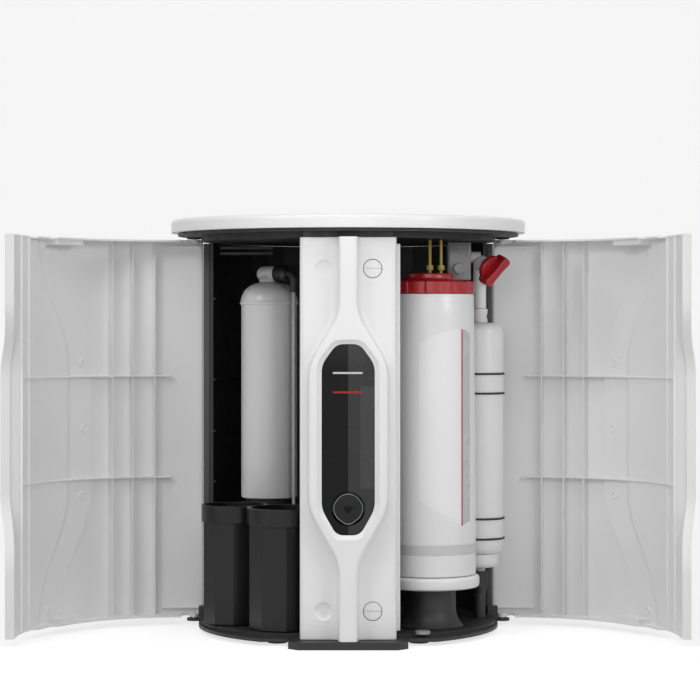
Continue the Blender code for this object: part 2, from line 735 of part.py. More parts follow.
def make_rear_shell():
    shell = shell_band("rear_shell", 0, SHELL_WALL, FLOOR_Z, CEILING_Z)
    for z in SHELL_RIB_ZS:
        inset = SHELL_WALL - OVERLAP
        join(shell, shell_band("rib", inset, SHELL_RIB_DEPTH, z, z + SHELL_RIB_THICKNESS,
                               SHELL_FRONT_Y + OVERLAP))
    inner = SHELL_HALF_WIDTH - SHELL_WALL + OVERLAP
    share = math.sqrt(1 - ((LEDGE_Y + LEDGE_DEPTH) / SHELL_HALF_DEPTH) ** 2)
    for step in (0, LEDGE_PITCH):
        low = (-inner * share, LEDGE_Y, LEDGE_LOW_Z + step)
        high = (LEDGE_END_X, LEDGE_Y + LEDGE_DEPTH, LEDGE_LOW_Z + step + LEDGE_THICKNESS)
        join(shell, box("ledge", low, high))
    low = (-BACK_PANEL_HALF_WIDTH, SHELL_HALF_DEPTH - BACK_PANEL_HALF_WIDTH / 2, BACK_PANEL_LOW_Z)
    high = (BACK_PANEL_HALF_WIDTH, BACK_PANEL_Y, BACK_PANEL_HIGH_Z)
    join(shell, box("back_panel", low, high))
    for x in PORT_XS:
        place = (x, BACK_PANEL_Y, PORT_Z)
        hole = rod("port_hole", PORT_BORE * 2 + SEAM, -INLET_DEPTH, OVERRUN, place,
                   direction=(0, 1, 0))
        cut(shell, hole)
    low, high = inlet_corners(SEAM)
    cut(shell, box("inlet_hole", low, (high[0], BACK_PANEL_Y + OVERRUN, high[2])))
    return finish(shell, BLACK, 0.4)


# Column and what it carries
def make_column():
    corners = [
        (-COLUMN_HALF_WIDTH, COLUMN_BACK_Y),
        (-COLUMN_HALF_WIDTH, COLUMN_FRONT_Y),
        (COLUMN_HALF_WIDTH, COLUMN_FRONT_Y),
        (COLUMN_HALF_WIDTH, COLUMN_BACK_Y),
    ]
    smooth = rounded(corners, COLUMN_CORNER)
    plan = [corners[0]] + smooth[CORNER_POINTS:3 * CORNER_POINTS] + [corners[3]]
    column = prism("front_column", [plan], COLUMN_LOW_Z, COLUMN_HIGH_Z)
    wide_foot = RIDGE_WIDE + RIDGE_WIDE_SLOPE
    narrow_foot = RIDGE_NARROW + RIDGE_NARROW_SLOPE
    front = rounded_ridge(RIDGE_NARROW, RIDGE_WIDE, COLUMN_LOW_Z, COLUMN_HIGH_Z)
    foot = rounded_ridge(narrow_foot, wide_foot, COLUMN_LOW_Z, COLUMN_HIGH_Z)
    door_curve = DOOR_HALF_DEPTH * (1 - math.sqrt(1 - (RIDGE_WIDE / DOOR_HALF_WIDTH) ** 2))
    cheek_y = RIDGE_FRONT_Y + DOOR_WALL + ZONE_HEIGHT + door_curve + RIDGE_CHEEK_GAP
    ridge = loft("ridge", [in_plane(front, RIDGE_FRONT_Y), in_plane(front, cheek_y),
                           in_plane(foot, COLUMN_FRONT_Y), in_plane(foot, COLUMN_FRONT_Y + OVERLAP)])
    join(column, ridge)
    inner_low = COLUMN_LOW_Z + COLUMN_WALL
    inner_high = COLUMN_HIGH_Z - COLUMN_WALL
    inner_front = COLUMN_FRONT_Y + COLUMN_WALL
    cut(column, box("hollow", (COLUMN_WALL - COLUMN_HALF_WIDTH, inner_front, inner_low),
                    (COLUMN_HALF_WIDTH - COLUMN_WALL, COLUMN_BACK_Y + OVERRUN, inner_high)))
    thin = rounded_ridge(RIDGE_NARROW - COLUMN_WALL, RIDGE_WIDE - COLUMN_WALL, inner_low, inner_high)
    deep = rounded_ridge(narrow_foot - COLUMN_WALL, wide_foot - COLUMN_WALL, inner_low, inner_high)
    cut(column, loft("ridge_hollow", [in_plane(thin, RIDGE_FRONT_Y + COLUMN_WALL),
                                      in_plane(thin, cheek_y),
                                      in_plane(deep, inner_front + OVERLAP)]))
    for x in (-BOARD_POST_X, BOARD_POST_X):
        for z in BOARD_POST_ZS:
            post = rod("board_post", BOARD_POST_RADIUS, RIDGE_FRONT_Y + OVERLAP,
                       BOARD_FRONT_Y - SEAM, (x, 0, z), direction=(0, 1, 0))
            join(column, post)
    opening = loft("panel_opening", [
        in_plane(panel_outline(PANEL_BEVEL + SEAM), RIDGE_FRONT_Y - OVERLAP),
        in_plane(panel_outline(PANEL_BEVEL + SEAM - OVERLAP), RIDGE_FRONT_Y),
        in_plane(panel_outline(SEAM), PANEL_FRONT_Y - SEAM),
        in_plane(panel_outline(SEAM), PANEL_BACK_Y + OVERRUN),
    ])
    cut(column, opening)
    for z in (SCREW_TOP_Z, SCREW_LOW_Z):
        hole = rod("screw_hole", SCREW_SHANK_RADIUS + SEAM, COLUMN_FRONT_Y - OVERRUN,
                   inner_front + OVERRUN, (SCREW_X, 0, z), direction=(0, 1, 0))
        dimple = rod("dimple", SCREW_HEAD_RADIUS, COLUMN_FRONT_Y - OVERRUN,
                     COLUMN_FRONT_Y + DIMPLE_DEPTH, (-SCREW_X, 0, z), direction=(0, 1, 0))
        cut(column, hole, dimple)
    back = COLUMN_BACK_Y - SEAM
    low = (COLUMN_HALF_WIDTH - OVERLAP, back - RETURN_THICKNESS, COLUMN_LOW_Z + RETURN_INSET)
    high = (COLUMN_HALF_WIDTH + RETURN_WIDTH, back, COLUMN_HIGH_Z - RETURN_INSET)
    join(column, box("return_flange", low, high))
    return finish(column, WHITE, 0.3)


def panel_outline(grow=0.0):
    """The panel's six-cornered outline, grown outwards by an amount."""
    wide = PANEL_HALF_WIDTH + grow
    top = PANEL_TOP_HALF + grow / 2
    right = [
        (top, PANEL_LOW_Z - grow),
        (wide, PANEL_LOW_SIDE_Z - grow / 2),
        (wide, PANEL_TOP_SIDE_Z + grow / 2),
        (top, PANEL_TOP_Z + grow),
    ]
    return rounded(right + [(-x, z) for x, z in reversed(right)], PANEL_CORNER)


BOARD_FRONT_Y = PANEL_BACK_Y + SWITCH_HEIGHT + BUTTON_STEM_LENGTH + BUTTON_TRAVEL
BOARD_HALF_WIDTH = RIDGE_WIDE - COLUMN_WALL - BOARD_SIDE_GAP
BOARD_POST_X = BOARD_HALF_WIDTH - BOARD_POST_RADIUS
BOARD_POST_ZS = (PANEL_LOW_SIDE_Z + BOARD_MARGIN, PANEL_TOP_SIDE_Z - BOARD_MARGIN)


def make_panel():
    hole = circle(0, BUTTON_Z, BUTTON_RADIUS + SEAM, ROUND_STEPS)
    panel = prism("display_panel", [panel_outline(), hole], PANEL_FRONT_Y, PANEL_BACK_Y, "Y")
    return finish(panel, BLACK, 0.08)


def make_button():
    """A shallow dished disc with a stem that stops short of the switch by its travel."""
    top = BUTTON_PROUD
    foot = top - BUTTON_THICKNESS
    radius = BUTTON_RADIUS
    dish = BUTTON_PROUD / 2
    inner_share, outer_share = BUTTON_DISH_SHARES
    stem_end = PANEL_FRONT_Y - (BOARD_FRONT_Y - SWITCH_HEIGHT - BUTTON_TRAVEL - SEAM)
    profile = [
        (0, top - dish),
        (radius * inner_share, top - dish),
        (radius * outer_share, top),
        (radius - dish, top),
        (radius, top - dish),
        (radius, foot),
        (BUTTON_STEM_RADIUS, foot),
        (BUTTON_STEM_RADIUS, stem_end),
        (0, stem_end),
    ]
    button = turned("dispense_button", profile, (0, PANEL_FRONT_Y, BUTTON_Z), direction=(0, -1, 0))
    return finish(button, BLACK, 0.2)


def make_board():
    low = PANEL_LOW_SIDE_Z
    half = BOARD_HALF_WIDTH
    low_z = low - BOARD_MARGIN / 2
    high_z = PANEL_TOP_SIDE_Z
    outline = [(-half, low_z), (half, low_z), (half, high_z), (-half, high_z)]
    board = prism("control_board", [outline], BOARD_FRONT_Y, BOARD_FRONT_Y + BOARD_THICKNESS, "Y")
    finish(board, BOARD_GREEN, 0.5)
    reach = SWITCH_SIZE / 2
    switch = box("button_switch", (-reach, BOARD_FRONT_Y - SWITCH_HEIGHT, BUTTON_Z - reach),
                 (reach, BOARD_FRONT_Y - SEAM, BUTTON_Z + reach))
    finish(switch, BLACK, 0.5)


def make_screws():
    """Two slotted quarter-turn fasteners, their heads seated on the column's flat front."""
    for word, z in (("upper", SCREW_TOP_Z), ("lower", SCREW_LOW_Z)):
        radius = SCREW_HEAD_RADIUS
        edge = SCREW_SLOT_DEPTH / 2
        profile = [
            (0, SCREW_HEAD_THICKNESS),
            (radius - edge, SCREW_HEAD_THICKNESS),
            (radius, SCREW_HEAD_THICKNESS - edge),
            (radius, 0),
            (SCREW_SHANK_RADIUS, 0),
            (SCREW_SHANK_RADIUS, -SCREW_SHANK_LENGTH),
            (0, -SCREW_SHANK_LENGTH),
        ]
        place = (SCREW_X, COLUMN_FRONT_Y - SEAM, z)
        screw = turned(f"column_screw_{word}", profile, place, SMALL_PACK_STEPS, (0, -1, 0))
        half = SCREW_SLOT_WIDTH / 2
        slot_y = COLUMN_FRONT_Y - SEAM - SCREW_HEAD_THICKNESS
        slot = box("slot", (SCREW_X - radius - OVERRUN, slot_y - OVERRUN, z - half),
                   (SCREW_X + radius + OVERRUN, slot_y + SCREW_SLOT_DEPTH, z + half))
        finish(cut(screw, slot), WHITE, 0.3)


def make_post():
    """The upright behind the column: a channel with two bosses that take the fasteners."""
    back = POST_FRONT_Y + POST_DEPTH
    plan = [
        (POST_LEFT_X, POST_FRONT_Y),
        (POST_RIGHT_X, POST_FRONT_Y),
        (POST_RIGHT_X, back),
        (POST_RIGHT_X - POST_WALL, back),
        (POST_RIGHT_X - POST_WALL, POST_FRONT_Y + POST_WALL),
        (POST_LEFT_X + POST_WALL, POST_FRONT_Y + POST_WALL),
        (POST_LEFT_X + POST_WALL, back),
        (POST_LEFT_X, back),
    ]
    post = prism("chassis_post", [plan], FLOOR_Z, CEILING_Z)
    boss_front = COLUMN_FRONT_Y + COLUMN_WALL + SEAM
    for z in (SCREW_TOP_Z, SCREW_LOW_Z):
        join(post, rod("boss", POST_BOSS_RADIUS, boss_front, POST_FRONT_Y + OVERLAP,
                       (SCREW_X, 0, z), direction=(0, 1, 0)))
        hole_end = COLUMN_FRONT_Y + SCREW_SHANK_LENGTH + SEAM
        cut(post, rod("hole", SCREW_SHANK_RADIUS + SEAM, boss_front - OVERRUN, hole_end,
                      (SCREW_X, 0, z), direction=(0, 1, 0)))
    return finish(post, BLACK, 0.5)


# Doors
def door_point(angle, height=0.0, half_width=INNER_HALF_WIDTH, half_depth=INNER_HALF_DEPTH):
    """A point on a door's face at an ellipse angle, raised inwards by a height."""
    x = half_width * math.cos(angle)
    y = half_depth * math.sin(angle)
    out = Vector((math.cos(angle) / half_width, math.sin(angle) / half_depth)).normalized()
    return (x - out.x * height, y - out.y * height)


def front_angle(x):
    """The ellipse angle on a door's front half at a distance from the middle plane."""
    return -math.acos(x / INNER_HALF_WIDTH)


def depth_angle(y):
    return math.asin(y / INNER_HALF_DEPTH)


def edge_angle(x, height):
    """The angle at which a raised face starts, so that the free edge is cut straight back."""
    lean = x - door_point(front_angle(x), height)[0]
    return front_angle(x + lean)


def swing(z, at_ends, at_middle):
    """A smooth S between a value at the door's ends and one along its middle."""
    wide_low = RIDGE_LOW_WIDE_Z + ZONE_HEIGHT
    wide_high = RIDGE_TOP_WIDE_Z
    share = float(np.interp(z, [DOOR_LOW, wide_low, wide_high, DOOR_HIGH_Z], [0, 1, 1, 0]))
    smooth = (1 - math.cos(math.pi * share)) / 2
    return at_ends + (at_middle - at_ends) * smooth


def lip(x, z):
    """How far the wall leans forward near the free edge, where that edge is drawn back."""
    free_x = ridge_half_width(z) + DOOR_EDGE_GAP
    drawn = (free_x - DOOR_EDGE_GAP - RIDGE_NARROW) / (RIDGE_WIDE - RIDGE_NARROW)
    share = float(np.clip((LIP_START_X - x) / (LIP_START_X - RIDGE_WIDE - DOOR_EDGE_GAP), 0, 1))
    return LIP_DEPTH * drawn ** 2 * share


def door_section(z, side):
    """One level of a door: outer face, then the inner face with its land and raised zone."""
    free_x = ridge_half_width(z) + DOOR_EDGE_GAP
    outer_free = -math.acos(free_x / DOOR_HALF_WIDTH)
    free = edge_angle(free_x, ZONE_HEIGHT)
    end = depth_angle(DOOR_END_Y)
    land_end = front_angle(swing(z, LAND_X_END, LAND_X_MIDDLE))
    zone_end = front_angle(swing(z, ZONE_X_END, ZONE_X_MIDDLE))
    land_start = zone_end + LAND_FILLET / DOOR_HALF_WIDTH
    outer_lip = -math.acos(LIP_START_X / DOOR_HALF_WIDTH)
    outer = [door_point(t, 0, DOOR_HALF_WIDTH, DOOR_HALF_DEPTH)
             for t in [outer_free, *np.linspace(outer_lip, end, DOOR_POINTS)]]
    inner = [door_point(t) for t in np.linspace(end, land_end, DOOR_POINTS // 2)]
    land = [door_point(land_end, LAND_HEIGHT), door_point(land_start, LAND_HEIGHT)]
    middle = (land_start + zone_end) / 2
    bend = LAND_HEIGHT + (ZONE_HEIGHT - LAND_HEIGHT) * LAND_SHOULDER_SHARE
    zone = [door_point(middle, bend)]
    zone_lip = edge_angle(LIP_START_X, ZONE_HEIGHT)
    zone += [door_point(t, ZONE_HEIGHT) for t in [*np.linspace(zone_end, zone_lip, DOOR_POINTS // 2), free]]
    leaning = [(x, y - lip(x, z)) for x, y in outer + inner + land + zone]
    return [(x, y, z) for x, y in mirrored(leaning, side)]


def door_levels():
    """Heights of the door's sections: its ends, the ridge's bends, and one between them at each end."""
    outline = rounded_ridge(RIDGE_NARROW, RIDGE_WIDE, DOOR_LOW, DOOR_HIGH_Z)
    levels = {z for x, z in outline if x > 0}
    levels.add((RIDGE_LOW_NECK_Z + DOOR_LOW) / 2)
    levels.add((RIDGE_TOP_NECK_Z + DOOR_HIGH_Z) / 2)
    return sorted(levels)


def band(low_angle, high_angle, depth, count):
    """A plan strip along the inside of a door, let into its wall by the overlap."""
    outer = [door_point(t, -OVERLAP) for t in np.linspace(low_angle, high_angle, count)]
    inner = [door_point(t, depth) for t in np.linspace(high_angle, low_angle, count)]
    return outer + inner


def flange_plan():
    """The plan of an end flange: shallow over the column, then deeper in two steps."""
    free = front_angle(RIDGE_NARROW + DOOR_EDGE_GAP)
    first = front_angle(FLANGE_COLUMN_X)
    second = front_angle(FLANGE_STEP_X)
    last = depth_angle(FLANGE_END_Y)
    outer = [door_point(t, -OVERLAP) for t in np.linspace(free, last, DOOR_POINTS)]
    steps = ((last, second, FLANGE_DEPTH), (second, first, FLANGE_STEP_DEPTH),
             (first, free, FLANGE_COLUMN_DEPTH))
    inner = []
    for start, end, depth in steps:
        count = 2 + round(DOOR_POINTS * (start - end) / (last - free))
        inner += [door_point(t, depth) for t in np.linspace(start, end, count)]
    return outer + inner


def rib_plan(angle):
    """A thin upright rib that stands square on the door's inner face."""
    half = RIB_THICKNESS / 2
    out = Vector((math.cos(angle) / INNER_HALF_WIDTH, math.sin(angle) / INNER_HALF_DEPTH)).normalized()
    along = Vector((-out.y, out.x))
    root = Vector(door_point(angle, -OVERLAP))
    tip = Vector(door_point(angle, RIB_DEPTH))
    return [tuple(root - along * half), tuple(root + along * half),
            tuple(tip + along * half), tuple(tip - along * half)]


def hinge_arm_plan():
    """The door's hinge arm: a round boss with the pin's bore, run out to the door's wall."""
    radius = HINGE_BOSS_RADIUS
    turns = np.linspace(math.pi / 2, math.pi * 3 / 2, SMALL_STEPS // 2)
    boss = [(HINGE_X + radius * math.cos(t), HINGE_Y + radius * math.sin(t)) for t in turns]
    share = math.sqrt(1 - ((HINGE_Y + radius) / INNER_HALF_DEPTH) ** 2)
    wall_x = INNER_HALF_WIDTH * share + OVERLAP
    return boss + [(wall_x, HINGE_Y - radius), (wall_x, HINGE_Y + radius)]


def make_door(word, side):
    door = loft(word + "_door", [door_section(z, side) for z in door_levels()])
    top_flange = DOOR_HIGH_Z - FLANGE_THICKNESS
    low_flange = DOOR_LOW + FLANGE_THICKNESS
    plan = mirrored(flange_plan(), side)
    join(door, prism("flange", [plan], top_flange, DOOR_HIGH_Z - SEAM))
    join(door, prism("flange", [plan], DOOR_LOW + SEAM, low_flange))
    angles = [depth_angle(y) for y in RIB_YS] + [front_angle(x) for x in RIB_XS]
    for angle in angles:
        outline = mirrored(rib_plan(angle), side)
        join(door, prism("rib", [outline], low_flange - OVERLAP, top_flange + OVERLAP))
    shelf = mirrored(band(front_angle(RIB_START_X), depth_angle(RIB_END_Y), RIB_DEPTH, DOOR_POINTS), side)
    for z in (RIB_LOW_Z, RIB_HIGH_Z):
        join(door, prism("shelf", [shelf], z, z + RIB_THICKNESS))
    arm = mirrored(hinge_arm_plan(), side)
    bore = circle(side * HINGE_X, HINGE_Y, HINGE_PIN_RADIUS + SEAM)
    arm_low = DOOR_LOW + HINGE_ARM_THICKNESS
    arm_high = DOOR_HIGH_Z - HINGE_ARM_THICKNESS
    join(door, prism("arm", [arm, bore], DOOR_LOW + SEAM, arm_low))
    join(door, prism("arm", [arm, bore], arm_high, DOOR_HIGH_Z - SEAM))
    return finish(door, WHITE, 0.35)


def hang_door(word, side, door):
    """Put a door and its cutters on an empty at the hinge line, then turn it open."""
    hinge = bpy.data.objects.new(word + "_hinge", None)
    hinge.location = (side * HINGE_X, HINGE_Y, 0)
    PARTS.objects.link(hinge)
    bpy.context.view_layer.update()
    held = [door] + [modifier.object for modifier in door.modifiers]
    for obj in held:
        obj.parent = hinge
        obj.matrix_parent_inverse = hinge.matrix_world.inverted()
    hinge.rotation_euler.z = side * OPEN_ANGLE


def make_pins(word, side):
    ends = (
        ("lower", pin_low_z(), DOOR_LOW + HINGE_ARM_THICKNESS + OVERLAP),
        ("upper", DOOR_HIGH_Z - HINGE_ARM_THICKNESS - OVERLAP, pin_top_z()),
    )
    for level, low, high in ends:
        name = f"{word}_hinge_pin_{level}"
        pin = rod(name, HINGE_PIN_RADIUS, low, high, (side * HINGE_X, HINGE_Y, 0))
        finish(pin, STEEL, 0.3, 1.0)


# Left bay
def socket_profile(radius):
    """A blind cup with a stepped rim, from its bore floor round to its underside."""
    bore = radius - CUP_WALL
    body = radius - CUP_COLLAR_STEP
    top = CUP_TOP_Z
    low = FLOOR_Z
    return [
        (0, CUP_FLOOR_Z),
        (bore, CUP_FLOOR_Z),
        (bore, top),
        (radius, top),
        (radius, top - CUP_COLLAR_HEIGHT),
        (body, top - CUP_COLLAR_HEIGHT - CUP_COLLAR_STEP),
        (body, low),
        (0, low),
    ]


def make_cup_holder():
    places = ((CUP_X, CUP_Y, CUP_RADIUS), (REAR_CUP_X, REAR_CUP_Y, REAR_CUP_RADIUS))
    cups = [turned("cup_holder", socket_profile(radius), (x, y, 0)) for x, y, radius in places]
    holder = join(cups[0], cups[1])
    for x, y, radius in places:
        cut(holder, rod("bore", radius - CUP_WALL, CUP_FLOOR_Z, CUP_TOP_Z + OVERRUN, (x, y, 0), ROUND_STEPS))
    for x, y, radius in places[:1]:
        body = radius - CUP_COLLAR_STEP
        for i in range(CUP_RIB_COUNT):
            turn = math.tau * (i + 0.5) / CUP_RIB_COUNT
            if math.cos(turn - CUP_RIB_FACING) > CUP_RIB_SPREAD_SHARE:
                continue
            rib_x = x + body * math.cos(turn)
            rib_y = y + body * math.sin(turn)
            half = CUP_RIB_HALF_WIDTH
            rib = box("cup_rib", (-CUP_RIB_REACH, -half, FLOOR_Z),
                      (OVERLAP, half, CUP_TOP_Z - CUP_COLLAR_HEIGHT))
            rib.matrix_world = Matrix.Translation((rib_x, rib_y, 0)) @ Matrix.Rotation(turn, 4, "Z")
            join(holder, rib)
    return finish(holder, BLACK, 0.25)


def make_bottle():
    radius = BOTTLE_RADIUS
    low = CUP_TOP_Z + SEAM + BOTTLE_RIM
    dome = BOTTLE_TOP_Z - BOTTLE_SHOULDER_Z
    profile = [(0, BOTTLE_TOP_Z), (BOTTLE_NECK_RADIUS, BOTTLE_TOP_Z)]
    for share in BOTTLE_DOME_SHARES:
        drop = 1 - math.sqrt(1 - share ** 2)
        width = BOTTLE_NECK_RADIUS + (radius - BOTTLE_NECK_RADIUS) * share
        profile.append((width, BOTTLE_TOP_Z - dome * drop * BOTTLE_DOME_DROP_SHARE))
    profile += [
        (radius + BOTTLE_RIM, BOTTLE_SHOULDER_Z + BOTTLE_RIM),
        (radius + BOTTLE_RIM, BOTTLE_SHOULDER_Z),
        (radius, BOTTLE_SHOULDER_Z - BOTTLE_RIM),
        (radius, low + BOTTLE_RIM),
        (radius - BOTTLE_RIM, low),
        (0, low),
    ]
    bottle = turned("bottle", profile, (BOTTLE_X, BOTTLE_Y, 0))
    return finish(bottle, WHITE, 0.3)


def make_bottle_stand():
    """A plain tube on the deck that holds the bottle up, open at the back."""
    outer = STAND_RADIUS
    inner = STAND_RADIUS - STAND_WALL
    top = CUP_TOP_Z + BOTTLE_RIM
    profile = [(0, top), (outer, top), (outer, FLOOR_Z), (inner, FLOOR_Z),
               (inner, top - STAND_WALL), (0, top - STAND_WALL)]
    stand = turned("bottle_stand", profile, (BOTTLE_X, BOTTLE_Y, 0))
    return finish(stand, BLACK, 0.4)


def along_spout(distance, z=SPOUT_Z):
    """A point on the spout's line, at a distance from the bottle's axis."""
    return (BOTTLE_X + distance * math.cos(SPOUT_TURN), BOTTLE_Y + distance * math.sin(SPOUT_TURN), z)


def make_bottle_plumbing():
    """A cap on the bottle with a side spout, a dark connector, an elbow and a thin hose."""
    cap = rod("bottle_spout", BOTTLE_NECK_RADIUS, BOTTLE_TOP_Z + SEAM, SPOUT_Z,
              (BOTTLE_X, BOTTLE_Y, 0), ROUND_STEPS)
    direction = (math.cos(SPOUT_TURN), math.sin(SPOUT_TURN), 0)
    join(cap, rod("spout", SPOUT_RADIUS, -SPOUT_BACK, SPOUT_LENGTH, (BOTTLE_X, BOTTLE_Y, SPOUT_Z),
                  direction=direction))
    finish(cap, WHITE, 0.3)
    start = SPOUT_LENGTH + SEAM
    profile = [(0, CONNECTOR_LENGTH), (ELBOW_RADIUS + OVERLAP, CONNECTOR_LENGTH),
               (CONNECTOR_RADIUS, CONNECTOR_LENGTH * CONNECTOR_TAPER_SHARE), (CONNECTOR_RADIUS, 0), (0, 0)]
    connector = turned("spout_connector", profile, along_spout(start), direction=direction)
    finish(connector, BLACK, 0.4)
    elbow_start = start + CONNECTOR_LENGTH + SEAM
    bend = [along_spout(elbow_start)]
    for turn in np.linspace(0, math.pi / 2, CORNER_POINTS + 1):
        bend.append(along_spout(elbow_start + OVERLAP + ELBOW_BEND * math.sin(turn),
                                SPOUT_Z - ELBOW_BEND * (1 - math.cos(turn))))
    hose_top = SPOUT_Z - ELBOW_DROP
    drop_line = elbow_start + OVERLAP + ELBOW_BEND
    bend.append(along_spout(drop_line, hose_top))
    finish(tube("hose_elbow", ELBOW_RADIUS, bend), BLACK, 0.4)
    top = Vector(along_spout(drop_line, hose_top - SEAM))
    port_z = FLOOR_Z + PUMP_HEIGHT + PUMP_HEAD_HEIGHT / 2
    port = Vector((PUMP_X, PUMP_Y, port_z)) + pump_port_direction() * (PUMP_PORT_REACH + SEAM)
    corner = Vector((top.x, top.y, port_z))
    inward = (port - corner).normalized()
    route = [tuple(top.lerp(corner, share)) for share in HOSE_DROP_SHARES]
    for turn in np.linspace(0, math.pi / 2, CORNER_POINTS + 2):
        point = corner + inward * HOSE_BEND * (1 - math.cos(turn))
        point.z += HOSE_BEND * (1 - math.sin(turn))
        route.append(tuple(point))
    route.append(tuple(port))
    finish(tube("bottle_hose", HOSE_RADIUS, route), GREY, 0.35)


def pump_port_direction():
    """The level direction from the pump's axis to the drop of the bottle's hose."""
    reach = SPOUT_LENGTH + SEAM * 2 + CONNECTOR_LENGTH + OVERLAP + ELBOW_BEND
    place = Vector(along_spout(reach)) - Vector((PUMP_X, PUMP_Y, SPOUT_Z))
    return place.normalized()


# Right bay
def make_big_pack():
    low = PACK_LOW_Z
    top = PACK_TOP_Z
    band_top = PACK_BAND_LOW_Z + PACK_BAND_HEIGHT
    radius = PACK_LOW_RADIUS
    profile = [
        (0, top + PACK_NECK_HEIGHT),
        (PACK_NECK_RADIUS, top + PACK_NECK_HEIGHT),
        (PACK_NECK_RADIUS, top - SEAM),
        (PACK_TOP_RADIUS, top - SEAM),
        (radius, band_top + PACK_BAND_HEIGHT * 2),
        (radius, band_top),
        (radius - PACK_BAND_PROUD, band_top),
        (radius - PACK_BAND_PROUD, PACK_BAND_LOW_Z),
        (radius, PACK_BAND_LOW_Z),
        (radius, low + SEAM),
        (0, low + SEAM),
    ]
    pack = turned("big_pack", profile, (PACK_X, PACK_Y, 0))
    finish(pack, WHITE, 0.3)
    foot_low = low - PACK_FOOT_HEIGHT
    step = PACK_FOOT_RADIUS - PACK_LOW_RADIUS
    foot = [(0, low), (radius, low), (PACK_FOOT_RADIUS, low - step / 2),
            (PACK_FOOT_RADIUS, foot_low + step / 2), (PACK_FOOT_RADIUS - step / 2, foot_low), (0, foot_low)]
    finish(turned("pack_foot", foot, (PACK_X, PACK_Y, 0)), WHITE, 0.3)


def make_pack_collar():
    """The locking ring: a toothed grip disc with a raised hub that turns on the pack's neck."""
    radius = PACK_TOP_RADIUS
    low = PACK_TOP_Z
    count = COLLAR_GRIP_COUNT * 3
    outline = []
    for i in range(count):
        turn = math.tau * i / count
        reach = radius - COLLAR_GRIP_DEPTH * (i % 3 == 2)
        outline.append((PACK_X + reach * math.cos(turn), PACK_Y + reach * math.sin(turn)))
    bore = circle(PACK_X, PACK_Y, PACK_NECK_RADIUS + SEAM, ROUND_STEPS)
    collar = prism("pack_collar", [outline, bore], low, low + COLLAR_HEIGHT)
    hub = circle(PACK_X, PACK_Y, COLLAR_STEP_RADIUS, ROUND_STEPS)
    join(collar, prism("hub", [hub, bore], low + OVERLAP, low + COLLAR_HEIGHT + COLLAR_STEP_HEIGHT))
    return finish(collar, RED, 0.3)


def make_pack_seat():
    radius = SEAT_RADIUS
    top = PACK_LOW_Z - PACK_FOOT_HEIGHT - SEAM
    profile = [(0, top), (radius, top), (radius, FLOOR_Z + SEAT_FLARE_HEIGHT),
               (radius + SEAT_FLARE, FLOOR_Z), (0, FLOOR_Z)]
    return finish(turned("pack_seat", profile, (PACK_X, PACK_Y, 0)), BLACK, 0.4)


def make_port_tubes():
    """Two push-fit tubes between the pack's hub and the top plate."""
    low = PACK_TOP_Z + PACK_NECK_HEIGHT + SEAM
    high = CEILING_Z
    for number, x in enumerate(TUBE_XS, 1):
        middle = low + (high - low) / 3
        profile = [
            (0, high),
            (TUBE_RADIUS, high),
            (TUBE_RADIUS, middle + TUBE_COLLAR_HEIGHT),
            (TUBE_COLLAR_RADIUS, middle + TUBE_COLLAR_HEIGHT),
            (TUBE_COLLAR_RADIUS, middle),
            (TUBE_RADIUS, middle),
            (TUBE_RADIUS, low),
            (0, low),
        ]
        finish(turned(f"port_tube_{number}", profile, (x, PACK_Y, 0), SMALL_STEPS), YELLOW, 0.4)


def make_manifold():
    low = (MANIFOLD_LOW_X, MANIFOLD_LOW_Y, MANIFOLD_LOW_Z)
    high = (MANIFOLD_HIGH_X, MANIFOLD_HIGH_Y, CEILING_Z)
    manifold = box("manifold", low, high)
    middle_x = (MANIFOLD_LOW_X + MANIFOLD_HIGH_X) / 2
    port = rod("port", MANIFOLD_PORT_RADIUS, MANIFOLD_LOW_Y - MANIFOLD_PORT_RADIUS,
               MANIFOLD_LOW_Y + OVERLAP, (middle_x, 0, MANIFOLD_LOW_Z + MANIFOLD_PORT_RADIUS * 2),
               direction=(0, 1, 0))
    return finish(join(manifold, port), GREY, 0.15)


VALVE_AXIS = Vector(VALVE_TILT_SHARES).normalized()
VALVE_PLACE = Vector((VALVE_X, VALVE_Y, VALVE_Z))


